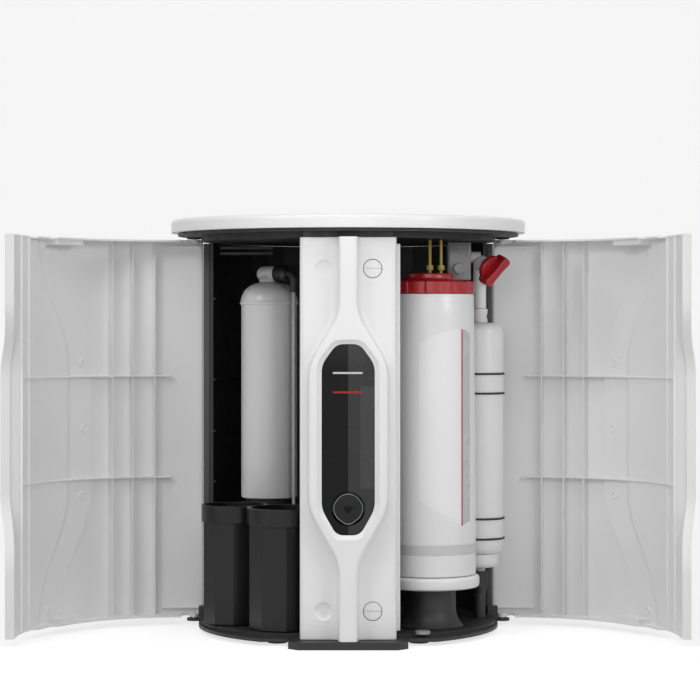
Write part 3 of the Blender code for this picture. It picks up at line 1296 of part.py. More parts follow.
def make_valve():
    profile = [(0, VALVE_LENGTH), (VALVE_RADIUS, VALVE_LENGTH), (VALVE_RADIUS, 0), (0, 0)]
    body = turned("valve_body", profile, VALVE_PLACE, ROUND_STEPS, VALVE_AXIS)
    bridge_z = VALVE_Z + MANIFOLD_PORT_RADIUS
    stem = rod("stem", SMALL_STEM_RADIUS, SMALL_TOP_Z + SMALL_HEAD_HEIGHT + SEAM, bridge_z,
               (SMALL_X, SMALL_Y, 0))
    bridge = rod("bridge", MANIFOLD_PORT_RADIUS, MANIFOLD_HIGH_X + SEAM, VALVE_X,
                 (0, SMALL_Y, bridge_z), direction=(1, 0, 0))
    finish(join(body, stem, bridge), WHITE, 0.3)
    place = VALVE_PLACE + VALVE_AXIS * (VALVE_LENGTH + SEAM)
    radius = KNOB_RADIUS
    top_share, foot_share = KNOB_RIM_SHARES
    knob_profile = [(0, KNOB_THICKNESS), (radius * top_share, KNOB_THICKNESS), (radius, KNOB_THICKNESS / 2),
                    (radius * foot_share, 0), (0, 0)]
    knob = turned("valve_knob", knob_profile, place, ROUND_STEPS, VALVE_AXIS)
    grip = prism("grip", [rounded([(-KNOB_GRIP_WIDTH / 2, -KNOB_GRIP_LENGTH / 2),
                                   (KNOB_GRIP_WIDTH / 2, -KNOB_GRIP_LENGTH / 2),
                                   (KNOB_GRIP_WIDTH / 2, KNOB_GRIP_LENGTH / 2),
                                   (-KNOB_GRIP_WIDTH / 2, KNOB_GRIP_LENGTH / 2)], KNOB_GRIP_WIDTH / 2)],
                 OVERLAP, KNOB_THICKNESS + KNOB_GRIP_HEIGHT)
    turn = Vector((0, 0, 1)).rotation_difference(VALVE_AXIS).to_matrix().to_4x4()
    grip.matrix_world = Matrix.Translation(place) @ turn @ grip.matrix_world
    finish(join(knob, grip), RED, 0.25)


def make_small_pack():
    radius = SMALL_RADIUS
    low = SMALL_LOW_Z
    top = SMALL_TOP_Z
    shoulder = SMALL_SHOULDER
    lean = shoulder * SMALL_SHOULDER_SHARE
    profile = [
        (0, top - SEAM),
        (radius - shoulder, top - SEAM),
        (radius - lean, top - lean),
        (radius, top - shoulder),
        (radius, low + shoulder),
        (radius - lean, low + lean),
        (SMALL_CAP_RADIUS, low + SEAM),
        (0, low + SEAM),
    ]
    place = (SMALL_X, SMALL_Y, 0)
    finish(turned("small_pack", profile, place, SMALL_PACK_STEPS), WHITE, 0.3)
    finish(rod("small_pack_head", SMALL_HEAD_RADIUS, top, top + SMALL_HEAD_HEIGHT, place), WHITE, 0.3)
    cap_low = low - SMALL_CAP_HEIGHT
    nozzle_low = cap_low - SMALL_NOZZLE_HEIGHT
    foot = [(0, low), (SMALL_CAP_RADIUS, low), (SMALL_CAP_RADIUS, cap_low + SMALL_NOZZLE_RADIUS),
            (SMALL_NOZZLE_RADIUS + OVERLAP, cap_low), (SMALL_NOZZLE_RADIUS, cap_low),
            (SMALL_NOZZLE_RADIUS, nozzle_low), (0, nozzle_low)]
    finish(turned("small_pack_foot", foot, place), WHITE, 0.3)
    seat_top = nozzle_low + SOCKET_HEIGHT
    bore = SMALL_NOZZLE_RADIUS + SEAM
    seat = [(0, nozzle_low - SEAM), (bore, nozzle_low - SEAM), (bore, seat_top), (SOCKET_RADIUS, seat_top),
            (SOCKET_RADIUS, nozzle_low - SOCKET_HEIGHT), (SMALL_SEAT_RADIUS, nozzle_low - SOCKET_HEIGHT * 2),
            (SMALL_SEAT_RADIUS, FLOOR_Z), (0, FLOOR_Z)]
    finish(turned("small_pack_seat", seat, place), BLACK, 0.4)


def make_bands():
    """Four dark bands round the small pack, each a flat ring."""
    for number, z in enumerate(SMALL_BAND_ZS, 1):
        inner = SMALL_RADIUS + SEAM
        outer = inner + SMALL_BAND_RADIUS
        reach = SMALL_BAND_RADIUS
        profile = [(inner, z + reach), (outer, z), (inner, z - reach), (inner, z + reach)]
        place = (SMALL_X, SMALL_Y, 0)
        finish(turned(f"small_pack_band_{number}", profile, place, SMALL_PACK_STEPS), BLACK, 0.5)


def make_tray_screw():
    place = (TRAY_SCREW_X, TRAY_SCREW_Y, 0)
    top = FLOOR_Z + TRAY_SCREW_HEIGHT
    screw = rod("tray_screw", TRAY_SCREW_RADIUS, FLOOR_Z, top, place)
    half = SCREW_SLOT_WIDTH / 2
    reach = TRAY_SCREW_RADIUS + OVERRUN
    cut(screw, box("slot", (TRAY_SCREW_X - reach, TRAY_SCREW_Y - half, top - SCREW_SLOT_DEPTH),
                   (TRAY_SCREW_X + reach, TRAY_SCREW_Y + half, top + OVERRUN)))
    return finish(screw, GREY, 0.4)


# Services
def make_pump():
    low = FLOOR_Z
    head_low = low + PUMP_HEIGHT
    profile = [
        (0, head_low + PUMP_HEAD_HEIGHT),
        (PUMP_HEAD_RADIUS, head_low + PUMP_HEAD_HEIGHT),
        (PUMP_HEAD_RADIUS, head_low),
        (PUMP_RADIUS, head_low),
        (PUMP_RADIUS, low),
        (0, low),
    ]
    pump = turned("pump", profile, (PUMP_X, PUMP_Y, 0))
    place = (PUMP_X, PUMP_Y, head_low + PUMP_HEAD_HEIGHT / 2)
    port = rod("port", PUMP_PORT_RADIUS, PUMP_RADIUS, PUMP_PORT_REACH, place,
               direction=pump_port_direction())
    return finish(join(pump, port), GREY, 0.4)


def inlet_corners(grow=0.0):
    half = INLET_WIDTH / 2 + grow
    tall = INLET_HEIGHT / 2 + grow
    low = (INLET_X - half, BACK_PANEL_Y - INLET_DEPTH - grow, INLET_Z - tall)
    high = (INLET_X + half, BACK_PANEL_Y + INLET_PROUD, INLET_Z + tall)
    return low, high


def make_services():
    low, high = inlet_corners()
    inlet = box("power_inlet", low, high)
    wall = INLET_WALL
    cut(inlet, box("recess", (low[0] + wall, low[1] + wall, low[2] + wall),
                   (high[0] - wall, high[1] + OVERRUN, high[2] - wall)))
    finish(inlet, BLACK, 0.5)
    for number, x in enumerate(PORT_XS, 1):
        profile = [
            (0, 0),
            (PORT_BORE, 0),
            (PORT_BORE, PORT_LENGTH),
            (PORT_RADIUS, PORT_LENGTH),
            (PORT_RADIUS, SEAM),
            (PORT_BORE * 2, SEAM),
            (PORT_BORE * 2, SEAM * 2 - INLET_DEPTH),
            (0, SEAM * 2 - INLET_DEPTH),
        ]
        place = (x, BACK_PANEL_Y, PORT_Z)
        finish(turned(f"water_port_{number}", profile, place, SMALL_STEPS, (0, 1, 0)), GREY, 0.4)


def build():
    make_lid()
    make_top_plate()
    make_base_tray()
    make_feet()
    make_rear_shell()
    make_column()
    make_panel()
    make_button()
    make_board()
    make_screws()
    make_post()
    for word, side in SIDES:
        door = make_door(word, side)
        hang_door(word, side, door)
        make_pins(word, side)
    make_cup_holder()
    make_bottle()
    make_bottle_stand()
    make_bottle_plumbing()
    make_big_pack()
    make_pack_collar()
    make_pack_seat()
    make_port_tubes()
    make_manifold()
    make_valve()
    make_small_pack()
    make_bands()
    make_tray_screw()
    make_pump()
    make_services()
    bpy.context.view_layer.update()


build()
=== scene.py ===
# %% [markdown]
# A bench water purifier stands with both of its curved doors open. Its measured solids come first
# and stay where they are. Everything after this cell adds finer surfaces and finishes round them,
# in metres and in the same frame, so that no piece has to be fitted by eye.

# %% The measured frame
import math

import bmesh
import bpy
import numpy as np
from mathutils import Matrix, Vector


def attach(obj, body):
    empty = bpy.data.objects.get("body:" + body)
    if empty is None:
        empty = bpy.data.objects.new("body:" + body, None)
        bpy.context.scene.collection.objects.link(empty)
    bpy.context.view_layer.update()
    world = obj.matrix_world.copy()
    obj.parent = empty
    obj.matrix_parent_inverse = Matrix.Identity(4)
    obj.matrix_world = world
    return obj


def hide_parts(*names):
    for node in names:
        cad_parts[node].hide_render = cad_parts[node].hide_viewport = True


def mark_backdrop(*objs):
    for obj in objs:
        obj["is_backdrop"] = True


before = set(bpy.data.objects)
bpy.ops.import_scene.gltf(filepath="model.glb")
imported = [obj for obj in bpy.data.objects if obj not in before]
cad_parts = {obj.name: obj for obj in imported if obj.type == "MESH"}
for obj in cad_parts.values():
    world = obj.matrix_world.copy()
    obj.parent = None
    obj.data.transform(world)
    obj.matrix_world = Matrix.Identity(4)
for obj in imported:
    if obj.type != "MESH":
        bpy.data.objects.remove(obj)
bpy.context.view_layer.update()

scene = bpy.context.scene
MM = 0.001
print("measured solids:", len(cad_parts))

# %% [markdown]
# The camera stands level, well back, a little above the middle of the body. A long lens from far
# away keeps the verticals parallel, and a small shift of the picture plane does what a tilt would,
# without making the sides lean.

# %% Camera
CAMERA_PLACE = (0.0, -2.470, 0.325)
PICTURE = 700
FOCAL_PIXELS = 2319
SENSOR = 36.0
CENTRE_PIXEL = (348.2, 323.0)

lens = bpy.data.cameras.new("studio_camera")
lens.sensor_width = SENSOR
lens.lens = FOCAL_PIXELS * SENSOR / PICTURE
lens.shift_x = (PICTURE / 2 - CENTRE_PIXEL[0]) / PICTURE
lens.shift_y = (CENTRE_PIXEL[1] - PICTURE / 2) / PICTURE
camera = bpy.data.objects.new("studio_camera", lens)
camera.location = CAMERA_PLACE
camera.rotation_euler = (math.pi / 2, 0, 0)
scene.collection.objects.link(camera)
scene.camera = camera
print("lens", round(lens.lens, 1), "mm")

# %% [markdown]
# The object stands on a white table in a white room. The floor is a broad sheet that turns up
# behind the object, and both it and the world look white to the camera and in reflections, while
# the lamps alone decide how bright the object is.

# %% Floor, background and lamps
FLOOR_WIDTH = 3.0
FLOOR_NEAR = -2.0
FLOOR_FAR = 1.1
FLOOR_TURN = 0.5


def lit_background(tree, dim, seen):
    """Chooses between a dim light for the object and plain white for the eye and for reflections."""
    path = tree.nodes.new("ShaderNodeLightPath")
    mirror = tree.nodes.new("ShaderNodeMath")
    mirror.operation = "MAXIMUM"
    tree.links.new(path.outputs["Is Glossy Ray"], mirror.inputs[0])
    tree.links.new(path.outputs["Is Transmission Ray"], mirror.inputs[1])
    either = tree.nodes.new("ShaderNodeMath")
    either.operation = "MAXIMUM"
    tree.links.new(path.outputs["Is Camera Ray"], either.inputs[0])
    tree.links.new(mirror.outputs[0], either.inputs[1])
    mix = tree.nodes.new("ShaderNodeMixShader")
    tree.links.new(either.outputs[0], mix.inputs[0])
    tree.links.new(dim, mix.inputs[1])
    tree.links.new(seen, mix.inputs[2])
    return mix.outputs[0]


def white_world(ambient):
    """A white backdrop whose strength as a lamp is `ambient`."""
    world = bpy.data.worlds.new("white_room")
    scene.world = world
    world.use_nodes = True
    tree = world.node_tree
    tree.nodes.clear()
    dim = tree.nodes.new("ShaderNodeBackground")
    dim.inputs["Color"].default_value = (1, 1, 1, 1)
    dim.inputs["Strength"].default_value = ambient
    seen = tree.nodes.new("ShaderNodeBackground")
    seen.inputs["Color"].default_value = (1, 1, 1, 1)
    seen.inputs["Strength"].default_value = 1.0
    out = tree.nodes.new("ShaderNodeOutputWorld")
    tree.links.new(lit_background(tree, dim.outputs[0], seen.outputs[0]), out.inputs["Surface"])


def floor_finish():
    """Paper that bounces light as paper does, and that the eye sees as white but for its shadow."""
    material = bpy.data.materials.new("white_paper")
    material.use_nodes = True
    tree = material.node_tree
    tree.nodes.clear()
    bounce = tree.nodes.new("ShaderNodeBsdfDiffuse")
    bounce.inputs["Color"].default_value = (0.72, 0.72, 0.72, 1)
    shaded = tree.nodes.new("ShaderNodeBsdfDiffuse")
    shaded.inputs["Color"].default_value = (0.42, 0.42, 0.42, 1)
    plain = tree.nodes.new("ShaderNodeEmission")
    plain.inputs["Strength"].default_value = 0.70
    both = tree.nodes.new("ShaderNodeAddShader")
    tree.links.new(shaded.outputs[0], both.inputs[0])
    tree.links.new(plain.outputs[0], both.inputs[1])
    out = tree.nodes.new("ShaderNodeOutputMaterial")
    tree.links.new(lit_background(tree, bounce.outputs[0], both.outputs[0]), out.inputs["Surface"])
    return material


def sheet_floor():
    """A floor strip z(y): level up to a bend, then a quarter circle into an upright wall."""
    bend = np.linspace(0, math.pi / 2, 24)
    y = np.concatenate(([FLOOR_NEAR], FLOOR_FAR + FLOOR_TURN * np.sin(bend), [FLOOR_FAR + FLOOR_TURN]))
    z = np.concatenate(([0.0], FLOOR_TURN * (1 - np.cos(bend)), [FLOOR_WIDTH]))
    left = np.stack((np.full_like(y, -FLOOR_WIDTH), y, z), 1)
    right = left * (-1, 1, 1)
    count = len(y)
    low = np.arange(count - 1)
    faces = np.stack((low, low + count, low + count + 1, low + 1), 1)
    mesh = bpy.data.meshes.new("floor")
    mesh.from_pydata(np.concatenate((left, right)).tolist(), [], faces.tolist())
    mesh.shade_smooth()
    mesh.materials.append(floor_finish())
    obj = bpy.data.objects.new("floor", mesh)
    scene.collection.objects.link(obj)
    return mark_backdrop(obj)


def soft_lamp(name, place, aim, width, height, power):
    """A rectangular lamp turned to face a point."""
    data = bpy.data.lights.new(name, "AREA")
    data.shape = "RECTANGLE"
    data.size = width
    data.size_y = height
    data.energy = power
    lamp = bpy.data.objects.new(name, data)
    lamp.location = place
    lamp.rotation_euler = (Vector(aim) - Vector(place)).to_track_quat("-Z", "Y").to_euler()
    lamp.visible_camera = False
    scene.collection.objects.link(lamp)
    return lamp


white_world(0.30)
sheet_floor()
soft_lamp("key_lamp", (-1.3, -1.5, 1.5), (0, 0, 0.2), 0.7, 0.6, 11)
soft_lamp("fill_lamp", (1.5, -1.5, 1.0), (0, 0, 0.2), 0.7, 0.7, 9)
soft_lamp("top_lamp", (0, -0.7, 1.9), (0, -0.1, 0.2), 1.2, 0.7, 7)
soft_lamp("door_lamp", (0, -0.62, 0.50), (0, 0, 0.2), 0.30, 0.30, 0.55)
scene.view_settings.view_transform = "Standard"

# %% [markdown]
# Real moulded plastic is never one flat colour. Its tone drifts a little over a hand's width, the
# tool leaves a fine grain, and handling dulls some patches. One node group holds that recipe, so
# that each finish only gives its own colour and amounts.

# %% Shared finish: moulded surface


def new_group(name, inputs, outputs):
    """An empty shader group with named sockets, and its two end nodes."""
    tree = bpy.data.node_groups.new(name, "ShaderNodeTree")
    for label, kind, value in inputs:
        socket = tree.interface.new_socket(name=label, in_out="INPUT", socket_type=kind)
        if value is not None:
            socket.default_value = value
    for label, kind in outputs:
        tree.interface.new_socket(name=label, in_out="OUTPUT", socket_type=kind)
    return tree, tree.nodes.new("NodeGroupInput"), tree.nodes.new("NodeGroupOutput")


def noise(tree, vector, scale, detail=2.0, roughness=0.5):
    """Soft noise over a vector; its value runs from 0 to 1."""
    node = tree.nodes.new("ShaderNodeTexNoise")
    node.inputs["Detail"].default_value = detail
    node.inputs["Roughness"].default_value = roughness
    if isinstance(scale, (int, float)):
        node.inputs["Scale"].default_value = scale
    else:
        tree.links.new(scale, node.inputs["Scale"])
    tree.links.new(vector, node.inputs["Vector"])
    return node.outputs["Fac"]


def reckon(tree, operation, first, second=None, third=None, clamp=False):
    """One Math node; numbers are set on it and sockets are linked to it."""
    node = tree.nodes.new("ShaderNodeMath")
    node.operation = operation
    node.use_clamp = clamp
    for socket, value in zip(node.inputs, (first, second, third)):
        if value is None:
            continue
        if isinstance(value, (int, float)):
            socket.default_value = value
        else:
            tree.links.new(value, socket)
    return node.outputs[0]


def remap(tree, value, low, high, to_low, to_high):
    """A clamped straight line from one range to another."""
    node = tree.nodes.new("ShaderNodeMapRange")
    for label, amount in (("From Min", low), ("From Max", high), ("To Min", to_low), ("To Max", to_high)):
        if isinstance(amount, (int, float)):
            node.inputs[label].default_value = amount
        else:
            tree.links.new(amount, node.inputs[label])
    tree.links.new(value, node.inputs["Value"])
    return node.outputs["Result"]


def blend_colours(tree, share, first, second, kind="MIX"):
    node = tree.nodes.new("ShaderNodeMix")
    node.data_type = "RGBA"
    node.blend_type = kind
    for socket, value in ((node.inputs[0], share), (node.inputs[6], first), (node.inputs[7], second)):
        if isinstance(value, (int, float)):
            socket.default_value = value
        elif isinstance(value, tuple):
            socket.default_value = (*value, 1)
        else:
            tree.links.new(value, socket)
    return node.outputs[2]


def moulded_group():
    """Colour, roughness and height of a moulded surface.

    colour = base * (1 +- drift * broad noise), roughness = base + patches * middle noise,
    height = fine grain noise, stretched by the grain scale.
    """
    tree, start, end = new_group(
        "moulded_surface",
        [("Vector", "NodeSocketVector", None), ("Base", "NodeSocketColor", (0.8, 0.8, 0.8, 1)),
         ("Shade", "NodeSocketColor", (0.7, 0.7, 0.7, 1)), ("Drift", "NodeSocketFloat", 0.3),
         ("Roughness", "NodeSocketFloat", 0.35), ("Patches", "NodeSocketFloat", 0.08),
         ("Grain", "NodeSocketFloat", 900.0)],
        [("Color", "NodeSocketColor"), ("Roughness", "NodeSocketFloat"), ("Height", "NodeSocketFloat")])
    vector = start.outputs["Vector"]
    broad = noise(tree, vector, 9.0, 3.0)
    middle = noise(tree, vector, 60.0, 4.0)
    fine = noise(tree, vector, start.outputs["Grain"], 3.0, 0.6)
    share = reckon(tree, "MULTIPLY", remap(tree, broad, 0.3, 0.7, 0.0, 1.0), start.outputs["Drift"])
    speck = reckon(tree, "MULTIPLY", remap(tree, fine, 0.62, 0.75, 0.0, 0.25), start.outputs["Drift"])
    total = reckon(tree, "ADD", share, speck, clamp=True)
    tree.links.new(blend_colours(tree, total, start.outputs["Base"], start.outputs["Shade"]),
                   end.inputs["Color"])
    lift = remap(tree, middle, 0.35, 0.7, 0.0, 1.0)
    rough = reckon(tree, "MULTIPLY_ADD", lift, start.outputs["Patches"], start.outputs["Roughness"])
    tree.links.new(rough, end.inputs["Roughness"])
    tree.links.new(fine, end.inputs["Height"])
    return tree


MOULDED = moulded_group()


def plastic(name, base, shade, roughness, drift=0.35, patches=0.08, grain=900.0, bump=0.04, coat=0.0,
            gloss=0.5):
    """A finish that takes its colour, roughness and grain from the moulded surface group."""
    material = bpy.data.materials.new(name)
    material.use_nodes = True
    tree = material.node_tree
    shader = tree.nodes["Principled BSDF"]
    group = tree.nodes.new("ShaderNodeGroup")
    group.node_tree = MOULDED
    group.inputs["Base"].default_value = (*base, 1)
    group.inputs["Shade"].default_value = (*shade, 1)
    group.inputs["Drift"].default_value = drift
    group.inputs["Roughness"].default_value = roughness
    group.inputs["Patches"].default_value = patches
    group.inputs["Grain"].default_value = grain
    place = tree.nodes.new("ShaderNodeTexCoord")
    tree.links.new(place.outputs["Object"], group.inputs["Vector"])
    tree.links.new(group.outputs["Color"], shader.inputs["Base Color"])
    tree.links.new(group.outputs["Roughness"], shader.inputs["Roughness"])
    relief = tree.nodes.new("ShaderNodeBump")
    relief.inputs["Strength"].default_value = bump
    relief.inputs["Distance"].default_value = MM / 2
    tree.links.new(group.outputs["Height"], relief.inputs["Height"])
    tree.links.new(relief.outputs["Normal"], shader.inputs["Normal"])
    shader.inputs["Coat Weight"].default_value = coat
    shader.inputs["Specular IOR Level"].default_value = gloss
    shader.inputs["Coat Roughness"].default_value = 0.08
    return material


# %% [markdown]
# The purifier needs only a few plastics: glossy white for the lid, the column and the packs, a
# satin white for the doors, black in two glosses, the red of the locking ring and knob, and small
# amounts of grey, clear and coloured tube.

# %% Finishes
WHITE, WHITE_SHADE = (0.87, 0.87, 0.87), (0.84, 0.84, 0.845)
FINISH = {
    "lid_white": plastic("lid_white", WHITE, WHITE_SHADE, 0.28, drift=0.5, bump=0.02),
    "column_white": plastic("column_white", WHITE, WHITE_SHADE, 0.32, drift=0.5, bump=0.03),
    "door_white": plastic("door_white", (0.86, 0.86, 0.86), (0.83, 0.83, 0.835), 0.40, drift=0.5, bump=0.06),
    "pack_white": plastic("pack_white", (0.82, 0.82, 0.82), (0.80, 0.80, 0.805), 0.30, drift=0.4,
                          patches=0.02, bump=0.02, coat=0.1),
    "label_white": plastic("label_white", (0.90, 0.90, 0.90), (0.88, 0.88, 0.88), 0.18, drift=0.5, bump=0.01),
    "label_grey": plastic("label_grey", (0.56, 0.57, 0.58), (0.52, 0.53, 0.54), 0.22, drift=0.5, bump=0.01),
    "label_red": plastic("label_red", (0.52, 0.015, 0.030), (0.44, 0.010, 0.020), 0.25, bump=0.01),
    "band_grey": plastic("band_grey", (0.62, 0.62, 0.63), (0.58, 0.58, 0.59), 0.30, bump=0.02),
    "jamb_grey": plastic("jamb_grey", (0.060, 0.060, 0.061), (0.045, 0.045, 0.046), 0.45, bump=0.08),
    "shell_black": plastic("shell_black", (0.006, 0.006, 0.006), (0.011, 0.011, 0.012), 0.42,
                           drift=0.8, patches=0.15, grain=1200.0, bump=0.12),
    "cup_black": plastic("cup_black", (0.006, 0.006, 0.006), (0.010, 0.010, 0.011), 0.28,
                         drift=0.7, patches=0.06, bump=0.05, gloss=0.35),
    "trim_black": plastic("trim_black", (0.012, 0.012, 0.013), (0.024, 0.024, 0.026), 0.45,
                          drift=0.8, patches=0.15, bump=0.10),
    "ring_red": plastic("ring_red", (0.42, 0.008, 0.014), (0.32, 0.005, 0.009), 0.30,
                        drift=0.6, bump=0.05, coat=0.2),
    "fitting_grey": plastic("fitting_grey", (0.36, 0.36, 0.37), (0.26, 0.27, 0.28), 0.22,
                            drift=0.7, bump=0.05),
    "foot_rubber": plastic("foot_rubber", (0.02, 0.02, 0.02), (0.05, 0.05, 0.05), 0.75,
                           drift=0.9, grain=1500.0, bump=0.25),
    "tube_yellow": plastic("tube_yellow", (0.62, 0.50, 0.10), (0.30, 0.22, 0.03), 0.30, drift=0.8),
    "board_green": plastic("board_green", (0.015, 0.12, 0.04), (0.01, 0.06, 0.02), 0.45, drift=0.9),
    "hose_grey": plastic("hose_grey", (0.55, 0.56, 0.58), (0.40, 0.41, 0.43), 0.25, drift=0.5),
    "button_black": plastic("button_black", (0.014, 0.014, 0.015), (0.019, 0.019, 0.020), 0.34,
                            bump=0.03, gloss=0.2),
    "button_rim": plastic("button_rim", (0.20, 0.20, 0.21), (0.16, 0.16, 0.17), 0.25, bump=0.03),
    "mark_black": plastic("mark_black", (0.006, 0.006, 0.006), (0.009, 0.009, 0.009), 0.40,
                          bump=0.03, gloss=0.1),
}


def pin_steel():
    """Turned steel: fine rings along the pin change its roughness and relief."""
    material = bpy.data.materials.new("pin_steel")
    material.use_nodes = True
    tree = material.node_tree
    shader = tree.nodes["Principled BSDF"]
    shader.inputs["Metallic"].default_value = 1.0
    place = tree.nodes.new("ShaderNodeTexCoord")
    rings = tree.nodes.new("ShaderNodeTexWave")
    rings.bands_direction = "Z"
    rings.inputs["Scale"].default_value = 900.0
    rings.inputs["Distortion"].default_value = 2.0
    tree.links.new(place.outputs["Object"], rings.inputs["Vector"])
    tone = blend_colours(tree, rings.outputs["Fac"], (0.55, 0.56, 0.58), (0.70, 0.71, 0.72))
    tree.links.new(tone, shader.inputs["Base Color"])
    tree.links.new(remap(tree, rings.outputs["Fac"], 0.0, 1.0, 0.22, 0.38), shader.inputs["Roughness"])
    return material


def stripe(tree, value, middle, half, edge=0.00012):
    """1 inside middle +- half and 0 outside, with a narrow edge."""
    distance = reckon(tree, "ABSOLUTE", reckon(tree, "SUBTRACT", value, middle))
    return remap(tree, distance, half - edge, half + edge, 1.0, 0.0)


def panel_glass():
    """The display's face: darker on the left and lighter on the right, where a reflection is painted, with a lighter
    block there and two short lines.
    """
    material = plastic("panel_glass", (0.009, 0.009, 0.0095), (0.011, 0.011, 0.0115), 0.22, bump=0.01, gloss=0.12)
    tree = material.node_tree
    shader = tree.nodes["Principled BSDF"]
    group = next(node for node in tree.nodes if node.type == "GROUP")
    place = next(node for node in tree.nodes if node.type == "TEX_COORD")
    split = tree.nodes.new("ShaderNodeSeparateXYZ")
    tree.links.new(place.outputs["Object"], split.inputs[0])
    x, z = split.outputs["X"], split.outputs["Z"]
    # Painted reflection: the right half of the glass is given a lighter colour.
    right = remap(tree, x, -0.0001, 0.0001, 0.0, 1.0)
    colour = blend_colours(tree, right, group.outputs["Color"], (0.046, 0.046, 0.047))
    band = reckon(tree, "MULTIPLY", stripe(tree, x, 0.019, 0.007), stripe(tree, z, 0.211, 0.051))
    colour = blend_colours(tree, band, colour, (0.066, 0.066, 0.067))
    across = stripe(tree, x, -0.0004, 0.0148)
    for level, tint in ((0.2753, (0.62, 0.62, 0.61)), (0.2561, (0.42, 0.030, 0.030))):
        share = reckon(tree, "MULTIPLY", across, stripe(tree, z, level, 0.00095))
        colour = blend_colours(tree, share, colour, tint)
    tree.links.new(colour, shader.inputs["Base Color"])
    return material


FINISH["pin_steel"] = pin_steel()
FINISH["panel_glass"] = panel_glass()
print("finishes:", len(FINISH))

# %% [markdown]
# Solids whose shape is already right keep it and take a better finish. The table says which
# finish each one wears; the ones that get a finer surface later are listed too, so that nothing
# is ever left plain.

# %% Finishes on the measured solids
WEARS = {
    "lid_white": ["lid"],
    "column_white": ["front_column", "column_screw_upper", "column_screw_lower"],
    "door_white": ["left_door", "right_door"],
    "pack_white": ["bottle", "bottle_spout", "big_pack", "pack_foot", "small_pack", "small_pack_head",
                   "small_pack_foot", "valve_body"],
    "shell_black": ["rear_shell", "chassis_post", "bottle_stand"],
    "cup_black": ["cup_holder", "dispense_button", "display_panel"],
    "trim_black": ["top_plate", "base_tray", "pack_seat", "small_pack_seat", "spout_connector",
                   "hose_elbow", "small_pack_band_1", "small_pack_band_2", "small_pack_band_3",
                   "small_pack_band_4", "power_inlet", "button_switch"],
    "ring_red": ["pack_collar", "valve_knob"],
    "fitting_grey": ["manifold", "tray_screw", "pump", "water_port_1", "water_port_2"],
    "foot_rubber": ["rubber_foot_front_left", "rubber_foot_front_right", "rubber_foot_back_left",
                    "rubber_foot_back_right"],
    "tube_yellow": ["port_tube_1", "port_tube_2"],
    "board_green": ["control_board"],
    "hose_grey": ["bottle_hose"],
    "pin_steel": ["left_hinge_pin_lower", "left_hinge_pin_upper", "right_hinge_pin_lower",
                  "right_hinge_pin_upper"],
}


def wear(obj, finish):
    """Puts one finish on every material slot of an object."""
    if not obj.material_slots:
        obj.data.materials.append(FINISH[finish])
    for slot in obj.material_slots:
        slot.material = FINISH[finish]


dressed = set()
for finish, names in WEARS.items():
    for name in names:
        wear(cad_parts[name], finish)
        dressed.add(name)
print("solids without a finish:", sorted(set(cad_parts) - dressed))

# %% [markdown]
# Every new surface below is a grid of points worked out as whole arrays. Rows of equal length are
# joined by quads, the ends are closed, and points that fall together at a pole are merged. The
# helpers here turn such rows into a mesh, round a corner of an outline, and turn a profile.

# %% Helpers for surfaces
MERGE = 1e-7


def shell(rows, closed=True, capped=True):
    """Vertices and faces of a grid (rows, points, 3): quads between neighbours, ends filled."""
    rows = np.asarray(rows, float)
    levels, count = rows.shape[:2]
    index = np.arange(levels * count).reshape(levels, count)
    beside = np.roll(index, -1, 1)
    quads = np.stack((index[:-1], beside[:-1], beside[1:], index[1:]), -1)
    if not closed:
        quads = quads[:, :-1]
    faces = quads.reshape(-1, 4).tolist()
    if capped:
        faces += [index[0, ::-1].tolist(), index[-1].tolist()]
    return rows.reshape(-1, 3), faces


def settled(mesh):
    """Merges the points of each pole, turns faces outwards and splits faces of many corners."""
    tidy = bmesh.new()
    tidy.from_mesh(mesh)
    bmesh.ops.remove_doubles(tidy, verts=tidy.verts, dist=MERGE)
    bmesh.ops.recalc_face_normals(tidy, faces=tidy.faces)
    bmesh.ops.triangulate(tidy, faces=[face for face in tidy.faces if len(face.verts) > 4])
    tidy.to_mesh(mesh)
    tidy.free()


def make(name, shells, body, finish, replaced=(), crease=35, bevel=0.0):
    """One piece out of closed shells, smooth but for its creases, riding on a body."""
    points, faces, start = [], [], 0
    for place, polygons in shells:
        points.append(place)
        faces += [[start + i for i in polygon] for polygon in polygons]
        start += len(place)
    mesh = bpy.data.meshes.new(name)
    mesh.from_pydata(np.concatenate(points).tolist(), [], faces)
    settled(mesh)
    mesh.shade_smooth()
    mesh.set_sharp_from_angle(angle=math.radians(crease))
    obj = bpy.data.objects.new(name, mesh)
    scene.collection.objects.link(obj)
    mesh.materials.append(FINISH[finish])
    if bevel:
        edge = obj.modifiers.new("edge", "BEVEL")
        edge.width = bevel
        edge.segments = 2
        edge.limit_method = "ANGLE"
        edge.angle_limit = math.radians(50)
    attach(obj, body)
    if replaced:
        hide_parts(*replaced)
    print(name, "faces:", len(mesh.polygons))
    return obj


def unit(vectors):
    """Vectors over their own length."""
    return vectors / np.maximum(np.linalg.norm(vectors, axis=-1, keepdims=True), 1e-12)


def soften(corners, reach, count=5, closed=True):
    """Each corner becomes a parabola (1-t)^2 a + 2t(1-t) p + t^2 b, with a and b `reach` from it.

    corners has the shape (..., corners, 2) and reach is one length or one for each corner.
    """
    p = np.asarray(corners, float)
    reach = np.broadcast_to(np.asarray(reach, float), p.shape[-2:-1]).copy()
    if not closed:
        reach[0] = reach[-1] = 0.0
    before = np.roll(p, 1, -2) - p
    after = np.roll(p, -1, -2) - p
    shorter = np.minimum(np.linalg.norm(before, axis=-1), np.linalg.norm(after, axis=-1))
    cut = np.minimum(reach, shorter * 0.49)[..., None]
    a = (p + unit(before) * cut)[..., None, :]
    b = (p + unit(after) * cut)[..., None, :]
    t = np.linspace(0, 1, count)[:, None]
    made = (1 - t) ** 2 * a + 2 * t * (1 - t) * p[..., None, :] + t ** 2 * b
    return made.reshape(*p.shape[:-2], -1, 2)


